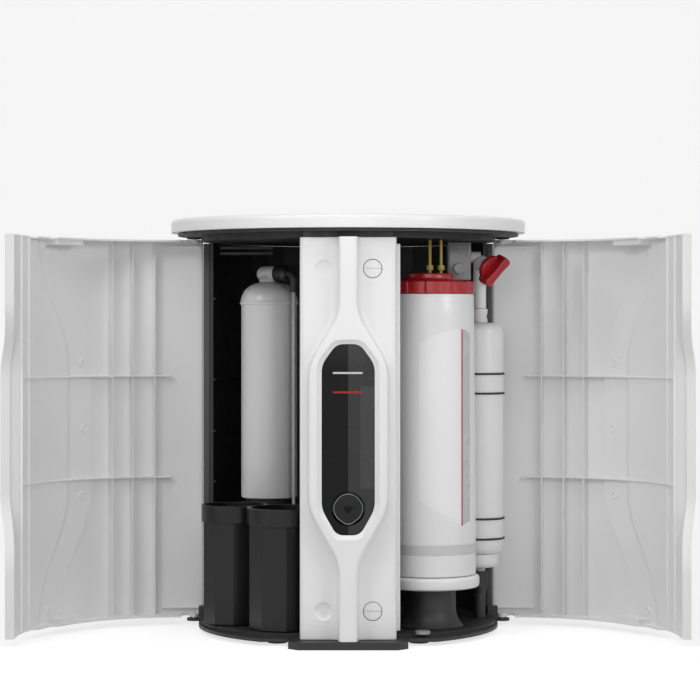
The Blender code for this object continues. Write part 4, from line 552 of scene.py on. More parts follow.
def lathe(profile, place, axis=(0, 0, 1), steps=96, soft=0.0, count=5):
    """A profile of (radius, height) turned round an axis: place + r cos t u + r sin t w + h axis."""
    line = soften(profile, soft, count, closed=False) if soft else np.asarray(profile, float)
    along = unit(np.asarray(axis, float))
    side = (0.0, 0.0, 1.0) if abs(along[2]) < 0.9 else (1.0, 0.0, 0.0)
    u = unit(np.cross(side, along))
    w = np.cross(along, u)
    t = np.linspace(0, math.tau, steps, endpoint=False)
    ring = np.cos(t)[:, None] * u + np.sin(t)[:, None] * w
    rows = np.asarray(place) + line[:, 0, None, None] * ring + line[:, 1, None, None] * along
    return shell(rows, capped=False)


def inset(loop, amount):
    """A closed loop moved towards its inside, along the normal of its neighbours' chord."""
    chord = np.roll(loop, -1, -2) - np.roll(loop, 1, -2)
    normal = unit(np.stack((chord[..., 1], -chord[..., 0]), -1))
    x, y = loop[..., 0], loop[..., 1]
    area = (x * np.roll(y, -1, -1) - np.roll(x, -1, -1) * y).sum(-1)
    turn = np.sign(area)[..., None, None] if np.ndim(area) else np.sign(area)
    return loop - normal * turn * amount


def slab(outline, low, high, edge=0.0004, axis="Z"):
    """An outline raised from low to high, with both rims rounded by a quarter circle."""
    outline = np.asarray(outline, float)
    turn = np.linspace(0, math.pi / 2, 4)
    heights = np.concatenate((low + edge * (1 - np.cos(turn)), high - edge * (1 - np.cos(turn[::-1]))))
    insets = np.concatenate((edge * (1 - np.sin(turn)), edge * (1 - np.sin(turn[::-1]))))
    rows = []
    for height, amount in zip(heights, insets):
        flat = inset(outline, amount)
        level = np.full(len(flat), height)
        order = {"Z": (flat[:, 0], flat[:, 1], level), "Y": (flat[:, 0], level, flat[:, 1]),
                 "X": (level, flat[:, 0], flat[:, 1])}[axis]
        rows.append(np.stack(order, -1))
    return shell(rows)


def sweep(path, radius, sides=20, across=(0, 1, 0)):
    """A round tube: circles in the plane of each point's normal and a fixed direction across."""
    path = np.asarray(path, float)
    tangent = unit(np.gradient(path, axis=0))
    across = np.asarray(across, float)
    first = unit(across - tangent * (tangent @ across)[:, None])
    second = np.cross(tangent, first)
    t = np.linspace(0, math.tau, sides, endpoint=False)[:, None]
    radius = np.broadcast_to(radius, len(path))[:, None, None]
    rows = path[:, None] + radius * (np.cos(t) * first[:, None] + np.sin(t) * second[:, None])
    return shell(rows)


def fluted(profile, place, offset):
    """A profile of (radius, height, share) turned upright; share * offset(t) is added to its radius."""
    line = np.asarray(profile, float)
    t = np.linspace(0, math.tau, len(offset), endpoint=False)
    radius = line[:, 0, None] + line[:, 2, None] * offset
    height = np.broadcast_to(line[:, 1, None], radius.shape)
    rows = np.stack((radius * np.cos(t), radius * np.sin(t), height), -1)
    return shell(rows + np.asarray(place, float), capped=False)


def flats(radius, depth, count, steps=240):
    """Offset that cuts `count` flats into a circle: min(0, (r - d) / cos s - r)."""
    t = np.linspace(0, math.tau, steps, endpoint=False)
    s = (t + math.pi / count) % (math.tau / count) - math.pi / count
    return np.minimum(0.0, (radius - depth) / np.cos(s) - radius)


def patch(radius, place, x_span, low, high, lift=0.00015, sink=0.0003):
    """A thin sheet on an upright drum: y = y0 - sqrt(r(z)^2 - (x - x0)^2), z from low(x) to high(x)."""
    x = np.linspace(*x_span, 48)[:, None]
    z = low(x) + (high(x) - low(x)) * np.linspace(0, 1, 60)
    sides = []
    for reach in (lift, -sink):
        y = place[1] - np.sqrt((radius(z) + reach) ** 2 - (x - place[0]) ** 2)
        sides.append(np.stack((np.broadcast_to(x, z.shape), y, z), -1))
    return shell(np.concatenate((sides[0], sides[1][:, ::-1]), 1))


def ring_sweep(outline, y, radius, sides=10):
    """A round bead along a closed outline (x, z) at depth y; its last row meets its first."""
    flat = np.concatenate((outline, outline[:1]))
    chord = unit(np.roll(outline, -1, 0) - np.roll(outline, 1, 0))
    normal = np.stack((chord[:, 1], -chord[:, 0]), -1)
    normal = np.concatenate((normal, normal[:1]))
    t = np.linspace(0, math.tau, sides, endpoint=False)
    across = flat[:, None] + normal[:, None] * (radius * np.cos(t))[:, None]
    depth = np.broadcast_to(y + radius * np.sin(t), across.shape[:2])
    return shell(np.stack((across[..., 0], depth, across[..., 1]), -1), capped=False)


def ellipse(half_width, half_depth, count=160, back=None):
    """A closed plan (a cos t, b sin t), whose rear half may have another depth."""
    t = np.linspace(0, math.tau, count, endpoint=False)
    depth = np.where(np.sin(t) > 0, half_depth if back is None else back, half_depth)
    return np.stack((half_width * np.cos(t), depth * np.sin(t)), -1)


# %% [markdown]
# The lid is a thin oval plate with a soft upper rim. It is turned as a profile is, but with a
# wide and a shallow radius, and its top swells by a millimetre so that it catches a soft light.

# %% Lid
LID_HALF = (0.188, 0.170)
LID_LOW, LID_HIGH = 0.420, 0.435
LID_CROWN = 0.0012


def lid_surface():
    """Rows from the underside's middle, round the rim, to the top's middle."""
    turn = np.linspace(0, math.pi / 2, 8)
    rim = 0.0045
    foot = 0.0008
    low = np.stack((foot * (1 - np.sin(turn)), LID_LOW + foot * (1 - np.cos(turn))), -1)
    high = np.stack((rim * (1 - np.cos(turn)), LID_HIGH - LID_CROWN - rim * (1 - np.sin(turn))), -1)
    edge = np.concatenate((low, high))
    plan = ellipse(*LID_HALF)
    rim_rows = [np.column_stack((inset(plan, d), np.full(len(plan), z))) for d, z in edge]
    under = [np.column_stack((inset(plan, foot) * s, np.full(len(plan), LID_LOW))) for s in (0, 0.5)]
    top = []
    for s in (0.96, 0.85, 0.65, 0.4, 0.2, 0.0):
        top.append(np.column_stack((inset(plan, rim) * s,
                                    np.full(len(plan), LID_HIGH - LID_CROWN * s ** 2))))
    return shell(under + rim_rows + top, capped=False)


make("lid_cover", [lid_surface()], "cabinet", "lid_white", ["lid"])

# %% [markdown]
# The column carries a raised ridge that is narrow at both ends and widens round the display. Its
# outline is a half width w(z) with four rounded bends, and each level of the column is one closed
# section whose corners are softened by their own amounts.

# %% Column outline
COLUMN_HALF = 0.0485
COLUMN_FRONT, COLUMN_BACK = -0.150, -0.122
RIDGE_FRONT = -0.168
CHEEK_Y = -0.1537
COLUMN_LOW, COLUMN_HIGH = 0.008, 0.4110
WALL = 0.003
RIDGE_BENDS = ((0.0095, 0.086), (0.040, 0.140), (0.040, 0.283), (0.0095, 0.333))
RIDGE_ROUND = 0.022


def ridge_half(z, grow_narrow=0.0, grow_wide=0.0):
    """Half width of the ridge at heights z: straight runs with parabolas at the four bends."""
    grow = (grow_narrow, grow_wide, grow_wide, grow_narrow)
    bends = [(w + g, level) for (w, level), g in zip(RIDGE_BENDS, grow)]
    line = [(bends[0][0], -0.05)] + bends + [(bends[-1][0], 0.5)]
    smooth = soften(line, RIDGE_ROUND * 0.62, 9, closed=False)
    return np.interp(z, smooth[:, 1], smooth[:, 0])


def rounded_ends(low, high, count, edge):
    """Levels from low to high, packed at both ends where the rim is rounded, and their insets."""
    turn = np.linspace(0, math.pi / 2, 4)
    levels = np.concatenate((low + edge * (1 - np.cos(turn)), np.linspace(low + edge, high - edge, count)[1:-1],
                             high - edge * (1 - np.cos(turn[::-1]))))
    insets = np.concatenate((edge * (1 - np.sin(turn)), np.zeros(count - 2), edge * (1 - np.sin(turn[::-1]))))
    return levels, insets


def column_surface():
    """One section a level: ridge front, cheek, slope, flat front, side, then the inner wall."""
    z, amount = rounded_ends(COLUMN_LOW, COLUMN_HIGH, 190, 0.0006)
    wide = ridge_half(z)
    foot = ridge_half(z, 0.0055, 0.0015)
    one = np.ones_like(z)
    right = [(wide, RIDGE_FRONT * one, 0.0042), (wide + 0.0004, CHEEK_Y * one, 0.0040),
             (foot, COLUMN_FRONT * one, 0.0035), (COLUMN_HALF * one, COLUMN_FRONT * one, 0.0045),
             (COLUMN_HALF * one, COLUMN_BACK * one, 0.0014),
             ((COLUMN_HALF - WALL) * one, COLUMN_BACK * one, 0.0014),
             ((COLUMN_HALF - WALL) * one, (COLUMN_FRONT + WALL) * one, 0.002),
             (foot - WALL, (COLUMN_FRONT + WALL) * one, 0.001),
             (wide - WALL, (RIDGE_FRONT + WALL) * one, 0.002)]
    left = [(-x, y, r) for x, y, r in reversed(right)]
    corners = np.stack([np.stack((x, y), -1) for x, y, r in right + left], 1)
    reach = np.array([r for x, y, r in right + left])
    loops = soften(corners, reach, 6)
    loops = np.stack([inset(loop, d) for loop, d in zip(loops, amount)])
    levels = np.broadcast_to(z[:, None, None], (*loops.shape[:2], 1))
    return shell(np.concatenate((loops, levels), -1))


# %% [markdown]
# The display sits in a bevelled window. Cutting it out of the finished column keeps the bevel
# crisp, so a tapered block of the window's outline is taken away with a Boolean, and so are the
# dimples and the seats of the two fasteners.

# %% Cutting helper and window


def carve(obj, shells, operation="DIFFERENCE"):
    """Takes closed shells away from a piece, or joins them to it, and keeps the finished mesh."""
    for points, faces in shells:
        mesh = bpy.data.meshes.new("tool")
        mesh.from_pydata(points.tolist(), [], faces)
        settled(mesh)
        tool = bpy.data.objects.new("tool", mesh)
        scene.collection.objects.link(tool)
        step = obj.modifiers.new("carve", "BOOLEAN")
        step.operation = operation
        step.solver = "EXACT"
        step.object = tool
        bpy.context.view_layer.update()
        made = bpy.data.meshes.new_from_object(obj.evaluated_get(bpy.context.evaluated_depsgraph_get()))
        obj.modifiers.clear()
        obj.data = made
        bpy.data.objects.remove(tool)
    settled(obj.data)
    obj.data.shade_smooth()
    obj.data.set_sharp_from_angle(angle=math.radians(32))
    return obj


PANEL_CORNERS = ((0.0115, 0.1143), (0.026, 0.1401), (0.026, 0.2833), (0.0115, 0.3036))
PANEL_FRONT, PANEL_BACK = -0.165, -0.162


def panel_outline(grow=0.0, corner=0.0075):
    """The window's six-cornered outline as (x, z), grown outwards by an amount."""
    half = np.array(PANEL_CORNERS)
    right = half + np.array(((0.5, -1.0), (1.0, -0.5), (1.0, 0.5), (0.5, 1.0))) * grow
    return soften(np.concatenate((right, right[::-1] * (-1, 1))), corner, 9)


def tapered(outlines, depths):
    """A block through equal outlines (x, z), each at its own depth y."""
    rows = [np.stack((o[:, 0], np.full(len(o), y), o[:, 1]), -1) for o, y in zip(outlines, depths)]
    return shell(rows)


column = make("column_cover", [column_surface()], "cabinet", "column_white",
              ["front_column"], crease=40)
SCREW_X = 0.0245
SCREW_ZS = (0.3795, 0.0365)
window = tapered([panel_outline(0.0058), panel_outline(0.0048), panel_outline(0.0004), panel_outline(0.0004)],
                 [RIDGE_FRONT - MM, RIDGE_FRONT + 0.0003, PANEL_FRONT - 0.0002, -0.160])
cuts = [window]
for z in SCREW_ZS:
    cuts.append(lathe([(0, -0.004), (0.0093, -0.004), (0.0093, 0.0), (0.0080, 0.0010), (0.0060, 0.0017),
                       (0.0035, 0.0021), (0, 0.0022)],
                      (-SCREW_X, COLUMN_FRONT, z), (0, 1, 0), 64))
    cuts.append(lathe([(0, -0.004), (0.0097, -0.004), (0.0097, 0.0018), (0, 0.0018)],
                      (SCREW_X, COLUMN_FRONT, z), (0, 1, 0), 64))
carve(column, cuts)
flange = soften([(COLUMN_HALF - MM, -0.130), (0.0525, -0.130), (0.0525, -0.128), (COLUMN_HALF - MM, -0.128)],
                0.0006, 4)
make("column_flange", [slab(flange, 0.0145, 0.4050, 0.0006)], "cabinet", "column_white")

# %% [markdown]
# Two big slotted fasteners hold the column. Each head is turned with a soft rim, and a narrow
# block is taken out of it for the slot. A thin dark ring in the seat's clearance round it is painted shade for the
# gap.

# %% Column fasteners
HEAD_RADIUS = 0.009


def fastener(z):
    """A head at the column's face and a shank behind it, turned about a line into the column."""
    profile = [(0, -0.0004), (HEAD_RADIUS, -0.0004), (HEAD_RADIUS, 0.0014), (0.003, 0.0014),
               (0.003, 0.0170), (0, 0.0170)]
    return lathe(profile, (SCREW_X, COLUMN_FRONT, z), (0, 1, 0), 72, 0.0005)


heads = make("column_fasteners", [fastener(z) for z in SCREW_ZS], "cabinet",
             "column_white", ["column_screw_upper", "column_screw_lower"])
slots = []
for z in SCREW_ZS:
    reach, half = HEAD_RADIUS + MM, 0.0007
    plan = [(SCREW_X - reach, z - half), (SCREW_X + reach, z - half),
            (SCREW_X + reach, z + half), (SCREW_X - reach, z + half)]
    slots.append(slab(plan, COLUMN_FRONT - MM, COLUMN_FRONT + 0.0010, 0.00005, "Y"))
carve(heads, slots)
# Painted shade: a dark ring laid in each seat's clearance stands for the shadow in the gap round the head.
t = np.linspace(0, math.tau, 13)
gap_shade_ring = np.stack((0.0094 + 0.0003 * np.cos(t), 0.0003 + 0.0003 * np.sin(t)), -1)
make("fastener_gap_shade", [lathe(gap_shade_ring, (SCREW_X, COLUMN_FRONT, z), (0, 1, 0), 72) for z in SCREW_ZS],
     "cabinet", "jamb_grey")

# %% [markdown]
# The display is a sheet of dark glass in the window, with a round-cornered button at its foot.
# The glass has a hole for the button, and the button carries a pale bead round its edge.

# %% Display panel and button
BUTTON_Z = 0.1402
glass = make("display_glass", [slab(panel_outline(-0.0002, 0.0070), PANEL_FRONT, PANEL_BACK, 0.0004, "Y")],
             "cabinet", "panel_glass", ["display_panel"])
carve(glass, [lathe([(0, -0.004), (0.0168, -0.004), (0.0168, 0.006), (0, 0.006)],
                    (0, PANEL_FRONT, BUTTON_Z), (0, 1, 0), 96)])
KEY_CORNERS = np.array(((0.0062, 0.0155), (0.0160, 0.0040), (0.0135, -0.0080), (0.0030, -0.0158)))


def key_outline(scale=1.0):
    """The button's outline: eight corners, mirrored in pairs and softened."""
    half = KEY_CORNERS * scale
    outline = soften(np.concatenate((half, half[::-1] * (-1, 1))), 0.0075 * scale, 7)
    return outline + (0, BUTTON_Z)


make("button_cap", [slab(key_outline(), -0.1660, -0.1605, 0.0005, "Y")],
     "dispense_button", "button_black", ["dispense_button"])
make("button_bead", [ring_sweep(key_outline(0.955), -0.1660, 0.00042)],
     "dispense_button", "button_rim")
drop = soften([(-0.0036, 0.0026), (0.0036, 0.0026), (0.0052, 0.0006), (0, -0.0052), (-0.0052, 0.0006)], 0.0012, 5)
make("button_mark", [slab(drop + (0, BUTTON_Z), -0.16618, -0.1655, 0.00008, "Y")],
     "dispense_button", "mark_black")

# %% [markdown]
# The doors are the hardest piece. Each is a curved sheet whose free edge follows the ridge when
# it is shut, and whose inner face rises in two steps, an S-shaped land and then a thicker zone
# along the free edge. They are worked out shut, as heights over an oval wall, and then turned
# open about the hinge line.

# %% Door wall
DOOR_OUTER = (0.184, 0.168)
DOOR_INNER = (0.1812, 0.1652)
DOOR_LOW, DOOR_HIGH = 0.008, 0.415
DOOR_END_Y = 0.042
EDGE_GAP = 0.0008
ZONE_RISE, LAND_RISE = 0.0065, 0.0038
HINGE = (0.166, 0.032)
OPEN = math.radians(82.5)
LIP_START, LIP_DEPTH = 0.051, 0.009


def wall_point(t, rise=0.0, radii=DOOR_INNER):
    """A point of the oval at angle t, moved inwards by `rise` along the oval's own normal."""
    a, b = radii
    t, rise = np.broadcast_arrays(np.asarray(t, float), np.asarray(rise, float))
    normal = unit(np.stack((np.cos(t) / a, np.sin(t) / b), -1))
    return np.stack((a * np.cos(t), b * np.sin(t)), -1) - normal * rise[..., None]


def front_turn(x, radii=DOOR_INNER):
    """The oval's angle at a distance x from the middle plane, on its front half."""
    return -np.arccos(np.asarray(x, float) / radii[0])


def depth_turn(y):
    return np.arcsin(np.asarray(y, float) / DOOR_INNER[1])


def swing(z, at_ends, at_middle):
    """A smooth S between a value at the door's ends and one along its middle."""
    share = np.interp(z, [DOOR_LOW, 0.1465, 0.283, DOOR_HIGH], [0, 1, 1, 0])
    return at_ends + (at_middle - at_ends) * (1 - np.cos(np.pi * share)) / 2


def between(start, stop, count):
    """Equal steps from one array to another, without the last."""
    return np.linspace(start, stop, count, endpoint=False, axis=-1)


def lip(x, z):
    """Outward shift of the free edge: depth * drawn^2 * (1 - cos(pi share)) / 2."""
    narrow, wide = RIDGE_BENDS[0][0], RIDGE_BENDS[1][0]
    drawn = (ridge_half(z) - narrow) / (wide - narrow)
    share = np.clip((LIP_START - x) / (LIP_START - wide - EDGE_GAP), 0, 1)
    return LIP_DEPTH * drawn ** 2 * (1 - np.cos(np.pi * share)) / 2


def door_wall():
    """Closed sections: outer face, end, inner face, land with a soft step, fillet, zone."""
    z, amount = rounded_ends(DOOR_LOW, DOOR_HIGH, 170, 0.0006)
    free_x = ridge_half(z) + EDGE_GAP
    outer_free = front_turn(free_x, DOOR_OUTER)
    lean = free_x - wall_point(front_turn(free_x), ZONE_RISE)[..., 0]
    free = front_turn(free_x + lean)
    lip_turn = np.full_like(z, front_turn(LIP_START))
    end = np.full_like(z, depth_turn(DOOR_END_Y))
    land_end = front_turn(swing(z, 0.1285, 0.1595))
    zone_end = front_turn(swing(z, 0.0945, 0.1355))
    land_start = zone_end + 0.009 / DOOR_OUTER[0]
    step = 0.0022 / DOOR_OUTER[0]
    ramp = (1 - np.cos(np.pi * np.linspace(0, 1, 6, endpoint=False))) / 2
    fillet = (1 - np.cos(np.pi * np.linspace(0, 1, 10, endpoint=False))) / 2
    parts = [wall_point(between(outer_free, lip_turn, 14), 0.0, DOOR_OUTER),
             wall_point(between(lip_turn, end, 50), 0.0, DOOR_OUTER),
             wall_point(end[:, None], 0.0, DOOR_OUTER),
             wall_point(between(end, land_end, 36)),
             wall_point(between(land_end, land_end - step, 6), LAND_RISE * ramp),
             wall_point(between(land_end - step, land_start, 10), LAND_RISE),
             wall_point(between(land_start, zone_end, 10), LAND_RISE + (ZONE_RISE - LAND_RISE) * fillet),
             wall_point(between(zone_end, lip_turn, 16), ZONE_RISE),
             wall_point(between(lip_turn, free, 14), ZONE_RISE),
             wall_point(free[:, None], ZONE_RISE)]
    loops = np.concatenate(parts, 1)
    loops[..., 1] -= lip(loops[..., 0], z[:, None])
    loops = round_marks(loops, [0, 64, 65, loops.shape[1] - 1], 0.0009)
    loops = np.stack([inset(loop, d) for loop, d in zip(loops, amount)])
    return np.concatenate((loops, np.broadcast_to(z[:, None, None], (*loops.shape[:2], 1))), -1)


def round_marks(loops, marks, reach, count=4):
    """Replaces the marked corners of every loop by short parabolas."""
    made = []
    total = loops.shape[1]
    t = np.linspace(0, 1, count)[:, None]
    for i in range(total):
        here = loops[:, i]
        if i not in marks:
            made.append(here[:, None])
            continue
        before = loops[:, i - 1] - here
        after = loops[:, (i + 1) % total] - here
        cut = [np.minimum(reach, np.linalg.norm(d, axis=-1, keepdims=True) * 0.45) for d in (before, after)]
        a = (here + unit(before) * cut[0])[:, None]
        b = (here + unit(after) * cut[1])[:, None]
        made.append((1 - t) ** 2 * a + 2 * t * (1 - t) * here[:, None] + t ** 2 * b)
    return np.concatenate(made, 1)


# %% [markdown]
# Inside each door thin ribs stand on the wall: flanges along both ends, two shelves across, and
# five uprights. Each is a tapered section carried along the wall, a little let into it, as a
# mould with draft would leave it.

# %% Door ribs


def carried(turns, depth, low, high, taper=0.0003):
    """A rib along the wall: a tapered section (depth by height) at each angle of the oval."""
    depth = np.broadcast_to(depth, len(turns))
    root = -0.001
    shares = ((root, low), (1.0, low + taper), (1.0, high - taper), (root, high))
    section = []
    for share, level in shares:
        rise = depth if share == 1.0 else np.full(len(turns), root)
        flat = wall_point(turns, rise)
        section.append(np.column_stack((flat, np.full(len(turns), level))))
    return np.stack(section, 1)


def upright(turn, depth, low, high, root=0.0021, tip=0.0012, start=-0.001):
    """A rib that stands square on the wall from one level to another."""
    out = unit(np.array((math.cos(turn) / DOOR_INNER[0], math.sin(turn) / DOOR_INNER[1])))
    along = np.array((-out[1], out[0]))
    base = wall_point(turn, start)
    top = wall_point(turn, depth)
    flat = [base - along * root / 2, base + along * root / 2, top + along * tip / 2, top - along * tip / 2]
    flat = soften(flat, 0.0003, 3)
    return np.stack([np.column_stack((flat, np.full(len(flat), z))) for z in (low, high)])


def stepped_depth(turns):
    """The end flange's depth: shallow over the column, then deeper in two rounded steps."""
    x = DOOR_INNER[0] * np.cos(turns)
    front = np.sin(turns) < 0
    depth = np.interp(x, (0.0765, 0.0795, 0.1065, 0.1095), (0.0072, 0.015, 0.015, 0.022))
    return np.where(front, depth, 0.022)


def door_ribs():
    """Every rib of a shut door, as grids."""
    low, high = DOOR_LOW + 0.0003, DOOR_HIGH - 0.0003
    thick = 0.0025
    turns = np.linspace(front_turn(0.0103), depth_turn(0.020), 120)
    made = [carried(turns, stepped_depth(turns), level, level + thick) for level in (low, high - thick)]
    shelf = np.linspace(front_turn(0.0525), depth_turn(0.008), 80)
    made += [carried(shelf, 0.0085, level, level + 0.002) for level in (0.158, 0.267)]
    angles = [float(depth_turn(y)) for y in (-0.0585, -0.0355, -0.0105)]
    angles += [float(front_turn(x)) for x in (0.052, 0.0745)]
    made += [upright(angle, 0.0085, DOOR_LOW + 0.001, DOOR_HIGH - 0.001) for angle in angles]
    ledge = np.linspace(depth_turn(-0.0016), depth_turn(0.0397), 30)
    made += [carried(ledge, 0.004, level, level + 0.0016) for level in (0.0165, 0.4070)]
    return made


def hinge_arms():
    """Two arms that carry the pins: a round boss run out to the wall."""
    radius = 0.005
    t = np.linspace(math.pi / 2, math.pi * 1.5, 16)
    boss = np.stack((HINGE[0] + radius * np.cos(t), HINGE[1] + radius * np.sin(t)), -1)
    wall = DOOR_INNER[0] * math.sqrt(1 - ((HINGE[1] + radius) / DOOR_INNER[1]) ** 2) + MM
    plan = np.concatenate((boss, [(wall, HINGE[1] - radius), (wall, HINGE[1] + radius)]))
    made = []
    for low, high in ((DOOR_LOW + 0.0003, 0.012), (0.411, DOOR_HIGH - 0.0003)):
        made.append(np.stack([np.column_stack((plan, np.full(len(plan), z))) for z in (low, high)]))
    return made


# %% [markdown]
# The land carries small round bosses with screw holes, a dimple at its middle, and a catch block
# at each end. They are turned or boxed shapes placed square on the wall, so one function finds
# the wall's own directions at an angle and a height.

# %% Door fittings


def wall_frame(turn):
    """Inward normal and along-the-wall direction, both level, at an angle of the oval."""
    out = unit(np.array((math.cos(turn) / DOOR_INNER[0], math.sin(turn) / DOOR_INNER[1])))
    return np.array((-out[0], -out[1], 0.0)), np.array((-out[1], out[0], 0.0))


def wall_boss(x, z, rise, radius, height, bore):
    """A low ring on the land with a countersunk hole, as a turned grid."""
    turn = float(front_turn(x))
    place = np.array((*wall_point(turn, rise), z))
    inward, along = wall_frame(turn)
    profile = np.array([(radius, -0.001), (radius, height * 0.6), (radius * 0.92, height),
                        (bore * 1.25, height), (bore, height * 0.5), (bore, 0.00015), (0, 0.00015)])
    t = np.linspace(0, math.tau, 40, endpoint=False)
    ring = np.cos(t)[:, None] * along + np.sin(t)[:, None] * np.array((0, 0, 1.0))
    return place + profile[:, 0, None, None] * ring + profile[:, 1, None, None] * inward


def wall_block(x0, x1, z0, z1, rise, depth):
    """A rounded block standing on the wall between two distances and two heights."""
    turns = np.linspace(float(front_turn(x0)), float(front_turn(x1)), 12)
    made = carried(turns, rise + depth, z0, z1, 0.0006)
    return made


def opened(grid, side):
    """A shut door's points, mirrored to a side and turned open about the hinge line."""
    x = side * grid[..., 0] - side * HINGE[0]
    y = grid[..., 1] - HINGE[1]
    c, s = math.cos(side * OPEN), math.sin(side * OPEN)
    return np.stack((side * HINGE[0] + c * x - s * y, HINGE[1] + s * x + c * y, grid[..., 2]), -1)


BOSSES = ((0.1157, 0.3995), (0.1157, 0.024), (0.1511, 0.283), (0.1511, 0.142))


def make_door(word, side):
    parts = [shell(opened(door_wall(), side))]
    parts += [shell(opened(grid, side)) for grid in door_ribs() + hinge_arms()]
    for x0, x1, z0, z1 in ((0.1105, 0.1437, 0.4065, 0.4138), (0.1105, 0.1437, 0.0092, 0.0165)):
        parts.append(shell(opened(wall_block(x0, x1, z0, z1, 0.0, 0.020), side)))
    make(word + "_door_panel", parts, word + "_door", "door_white", [word + "_door"])
    fittings = []
    for x, z in BOSSES:
        fittings.append(shell(opened(wall_boss(x, z, LAND_RISE, 0.0042, 0.0016, 0.0020), side)))
    fittings.append(shell(opened(wall_boss(0.1527, 0.213, LAND_RISE, 0.0040, 0.0010, 0.0026), side)))
    make(word + "_door_bosses", fittings, word + "_door", "door_white")


for word, side in (("left", -1), ("right", 1)):
    make_door(word, side)

# %% [markdown]
# The rear shell ends in a narrow jamb beside each door, a strip that closes the view past it.

# %% Shell jambs
JAMB = ((0.1486, 0.030), (0.1560, 0.030), (0.1560, 0.033), (0.1486, 0.034))
strips = [soften(np.array(JAMB) * (side, 1), 0.0005, 3) for side in (-1, 1)]
make("shell_jambs", [slab(strip, 0.0112, 0.4106, 0.0003) for strip in strips], "cabinet",
     "jamb_grey")

# %% [markdown]
# On the left stand two cups and a slim bottle. The cups are drums with ten shallow flats below a
# round collar, joined where they meet and then bored. The bottle is turned, with a bright bead at
# its shoulder, and a side spout leads through a ribbed connector into an elbow.

# %% Cups and bottle
CUPS = ((-0.064, -0.078, 0.041), (-0.119, -0.035, 0.035))
CUP_HIGH, CUP_FLOOR, DECK = 0.135, 0.040, 0.0108


def cup_drum(x, y, radius):
    """The outside of one cup: flats on the body, a small step, a round collar."""
    body = radius - 0.0015
    rows = [(0, DECK, 0), (body - MM, DECK, 1), (body, DECK + MM, 1), (body, 0.1155, 1), (body, 0.1168, 1),
            (radius - 0.0003, 0.1174, 0), (radius, 0.1180, 0), (radius, CUP_HIGH - 0.0006, 0),
            (radius - 0.0006, CUP_HIGH, 0), (0, CUP_HIGH, 0)]
    return fluted(rows, (x, y, 0), flats(body, 0.0017, 10))


def cup_bore(x, y, radius):
    """The inside of one cup, a little wider at its lip."""
    bore = radius - 0.004
    rows = [(0, CUP_FLOOR), (bore - 0.003, CUP_FLOOR), (bore, CUP_FLOOR + 0.003), (bore, CUP_HIGH - 0.0006),
            (bore + 0.0006, CUP_HIGH), (bore + 0.0006, CUP_HIGH + MM), (0, CUP_HIGH + MM)]
    return lathe(rows, (x, y, 0), steps=120)


cups = make("cup_drums", [cup_drum(*CUPS[0])], "cabinet", "cup_black", ["cup_holder"])
carve(cups, [cup_drum(*CUPS[1])], "UNION")
carve(cups, [cup_bore(*cup) for cup in CUPS])

BOTTLE = (-0.085, 0.025, 0.0)
bottle = [(0, 0.1371), (0.0275, 0.1371), (0.0296, 0.1383), (0.0300, 0.1410), (0.0300, 0.3436), (0.0306, 0.3446),
          (0.0314, 0.3452), (0.0315, 0.3462), (0.0314, 0.3470), (0.0307, 0.3478), (0.0303, 0.3510),
          (0.0292, 0.3550), (0.0272, 0.3590), (0.0242, 0.3625), (0.0200, 0.3655), (0.0150, 0.3676),
          (0.0100, 0.3685), (0, 0.3685)]
make("bottle_body", [lathe(bottle, BOTTLE, steps=128)], "cabinet", "pack_white", ["bottle"])

SPOUT = np.array((-0.085, 0.025, 0.3777))
SPOUT_WAY = np.array((math.cos(math.radians(-41)), math.sin(math.radians(-41)), 0))
spout = [(0, -0.0140), (0.0040, -0.0136), (0.0066, -0.0122), (0.0080, -0.0098), (0.0084, -0.0068), (0.0083, 0.0098),
         (0.0084, 0.0110), (0.0080, 0.0115), (0.0072, 0.0113), (0.0070, 0.0080), (0, 0.0080)]
cap = [(0, 0.3688), (0.0108, 0.3688), (0.0108, 0.3712), (0.0085, 0.3760), (0, 0.3780)]
make("bottle_cap", [lathe(spout, SPOUT, SPOUT_WAY, 80), lathe(cap, BOTTLE, steps=80, soft=0.0006)],
     "cabinet", "pack_white", ["bottle_spout"])
turns = np.linspace(0, 1, 48)
ribs = np.where(turns < 0.7, 0.0088 - 0.0011 * (1 - np.cos(turns * math.tau * 7)) / 2, 0.0088 - (turns - 0.7) * 0.0108)
connector = np.concatenate(([(0, 0.0)], np.stack((ribs, turns * 0.0155), -1), [(0, 0.0155)]))
make("connector_ribs", [lathe(connector, SPOUT + SPOUT_WAY * 0.0118, SPOUT_WAY, 72)],
     "cabinet", "trim_black", ["spout_connector"])
bend = np.linspace(0, math.pi / 2, 14)
out = 0.0286 + 0.007 * np.sin(bend)
fall = -0.007 * (1 - np.cos(bend))
out = np.concatenate(([0.0277], out, [out[-1]] * 3))
fall = np.concatenate(([0.0], fall, [-0.0110, -0.0150, -0.0199]))
path = SPOUT + out[:, None] * SPOUT_WAY + fall[:, None] * np.array((0, 0, 1.0))
width = np.concatenate((np.full(16, 0.0044), [0.0044, 0.0032]))
make("elbow_bend", [sweep(path, width, 24, (0.6561, 0.7547, 0))], "cabinet", "trim_black",
     ["hose_elbow"])

# %% [markdown]
# On the right the big pack fills the bay. It tapers gently, carries a pale label sheet with one red
# line and a grey margin, and is held by a toothed locking ring. The sheets are laid on the drum by
# the same radius r(z), lifted by a sixth of a millimetre.

# %% Big pack
PACK = (0.0847, -0.062, 0.0)
PACK_BAND = (0.087, 0.098)


def pack_radius(z):
    """The drum's radius: level up to 0.12 m, then a straight taper to the top."""
    return np.interp(z, (0.120, 0.355), (0.0478, 0.0458))


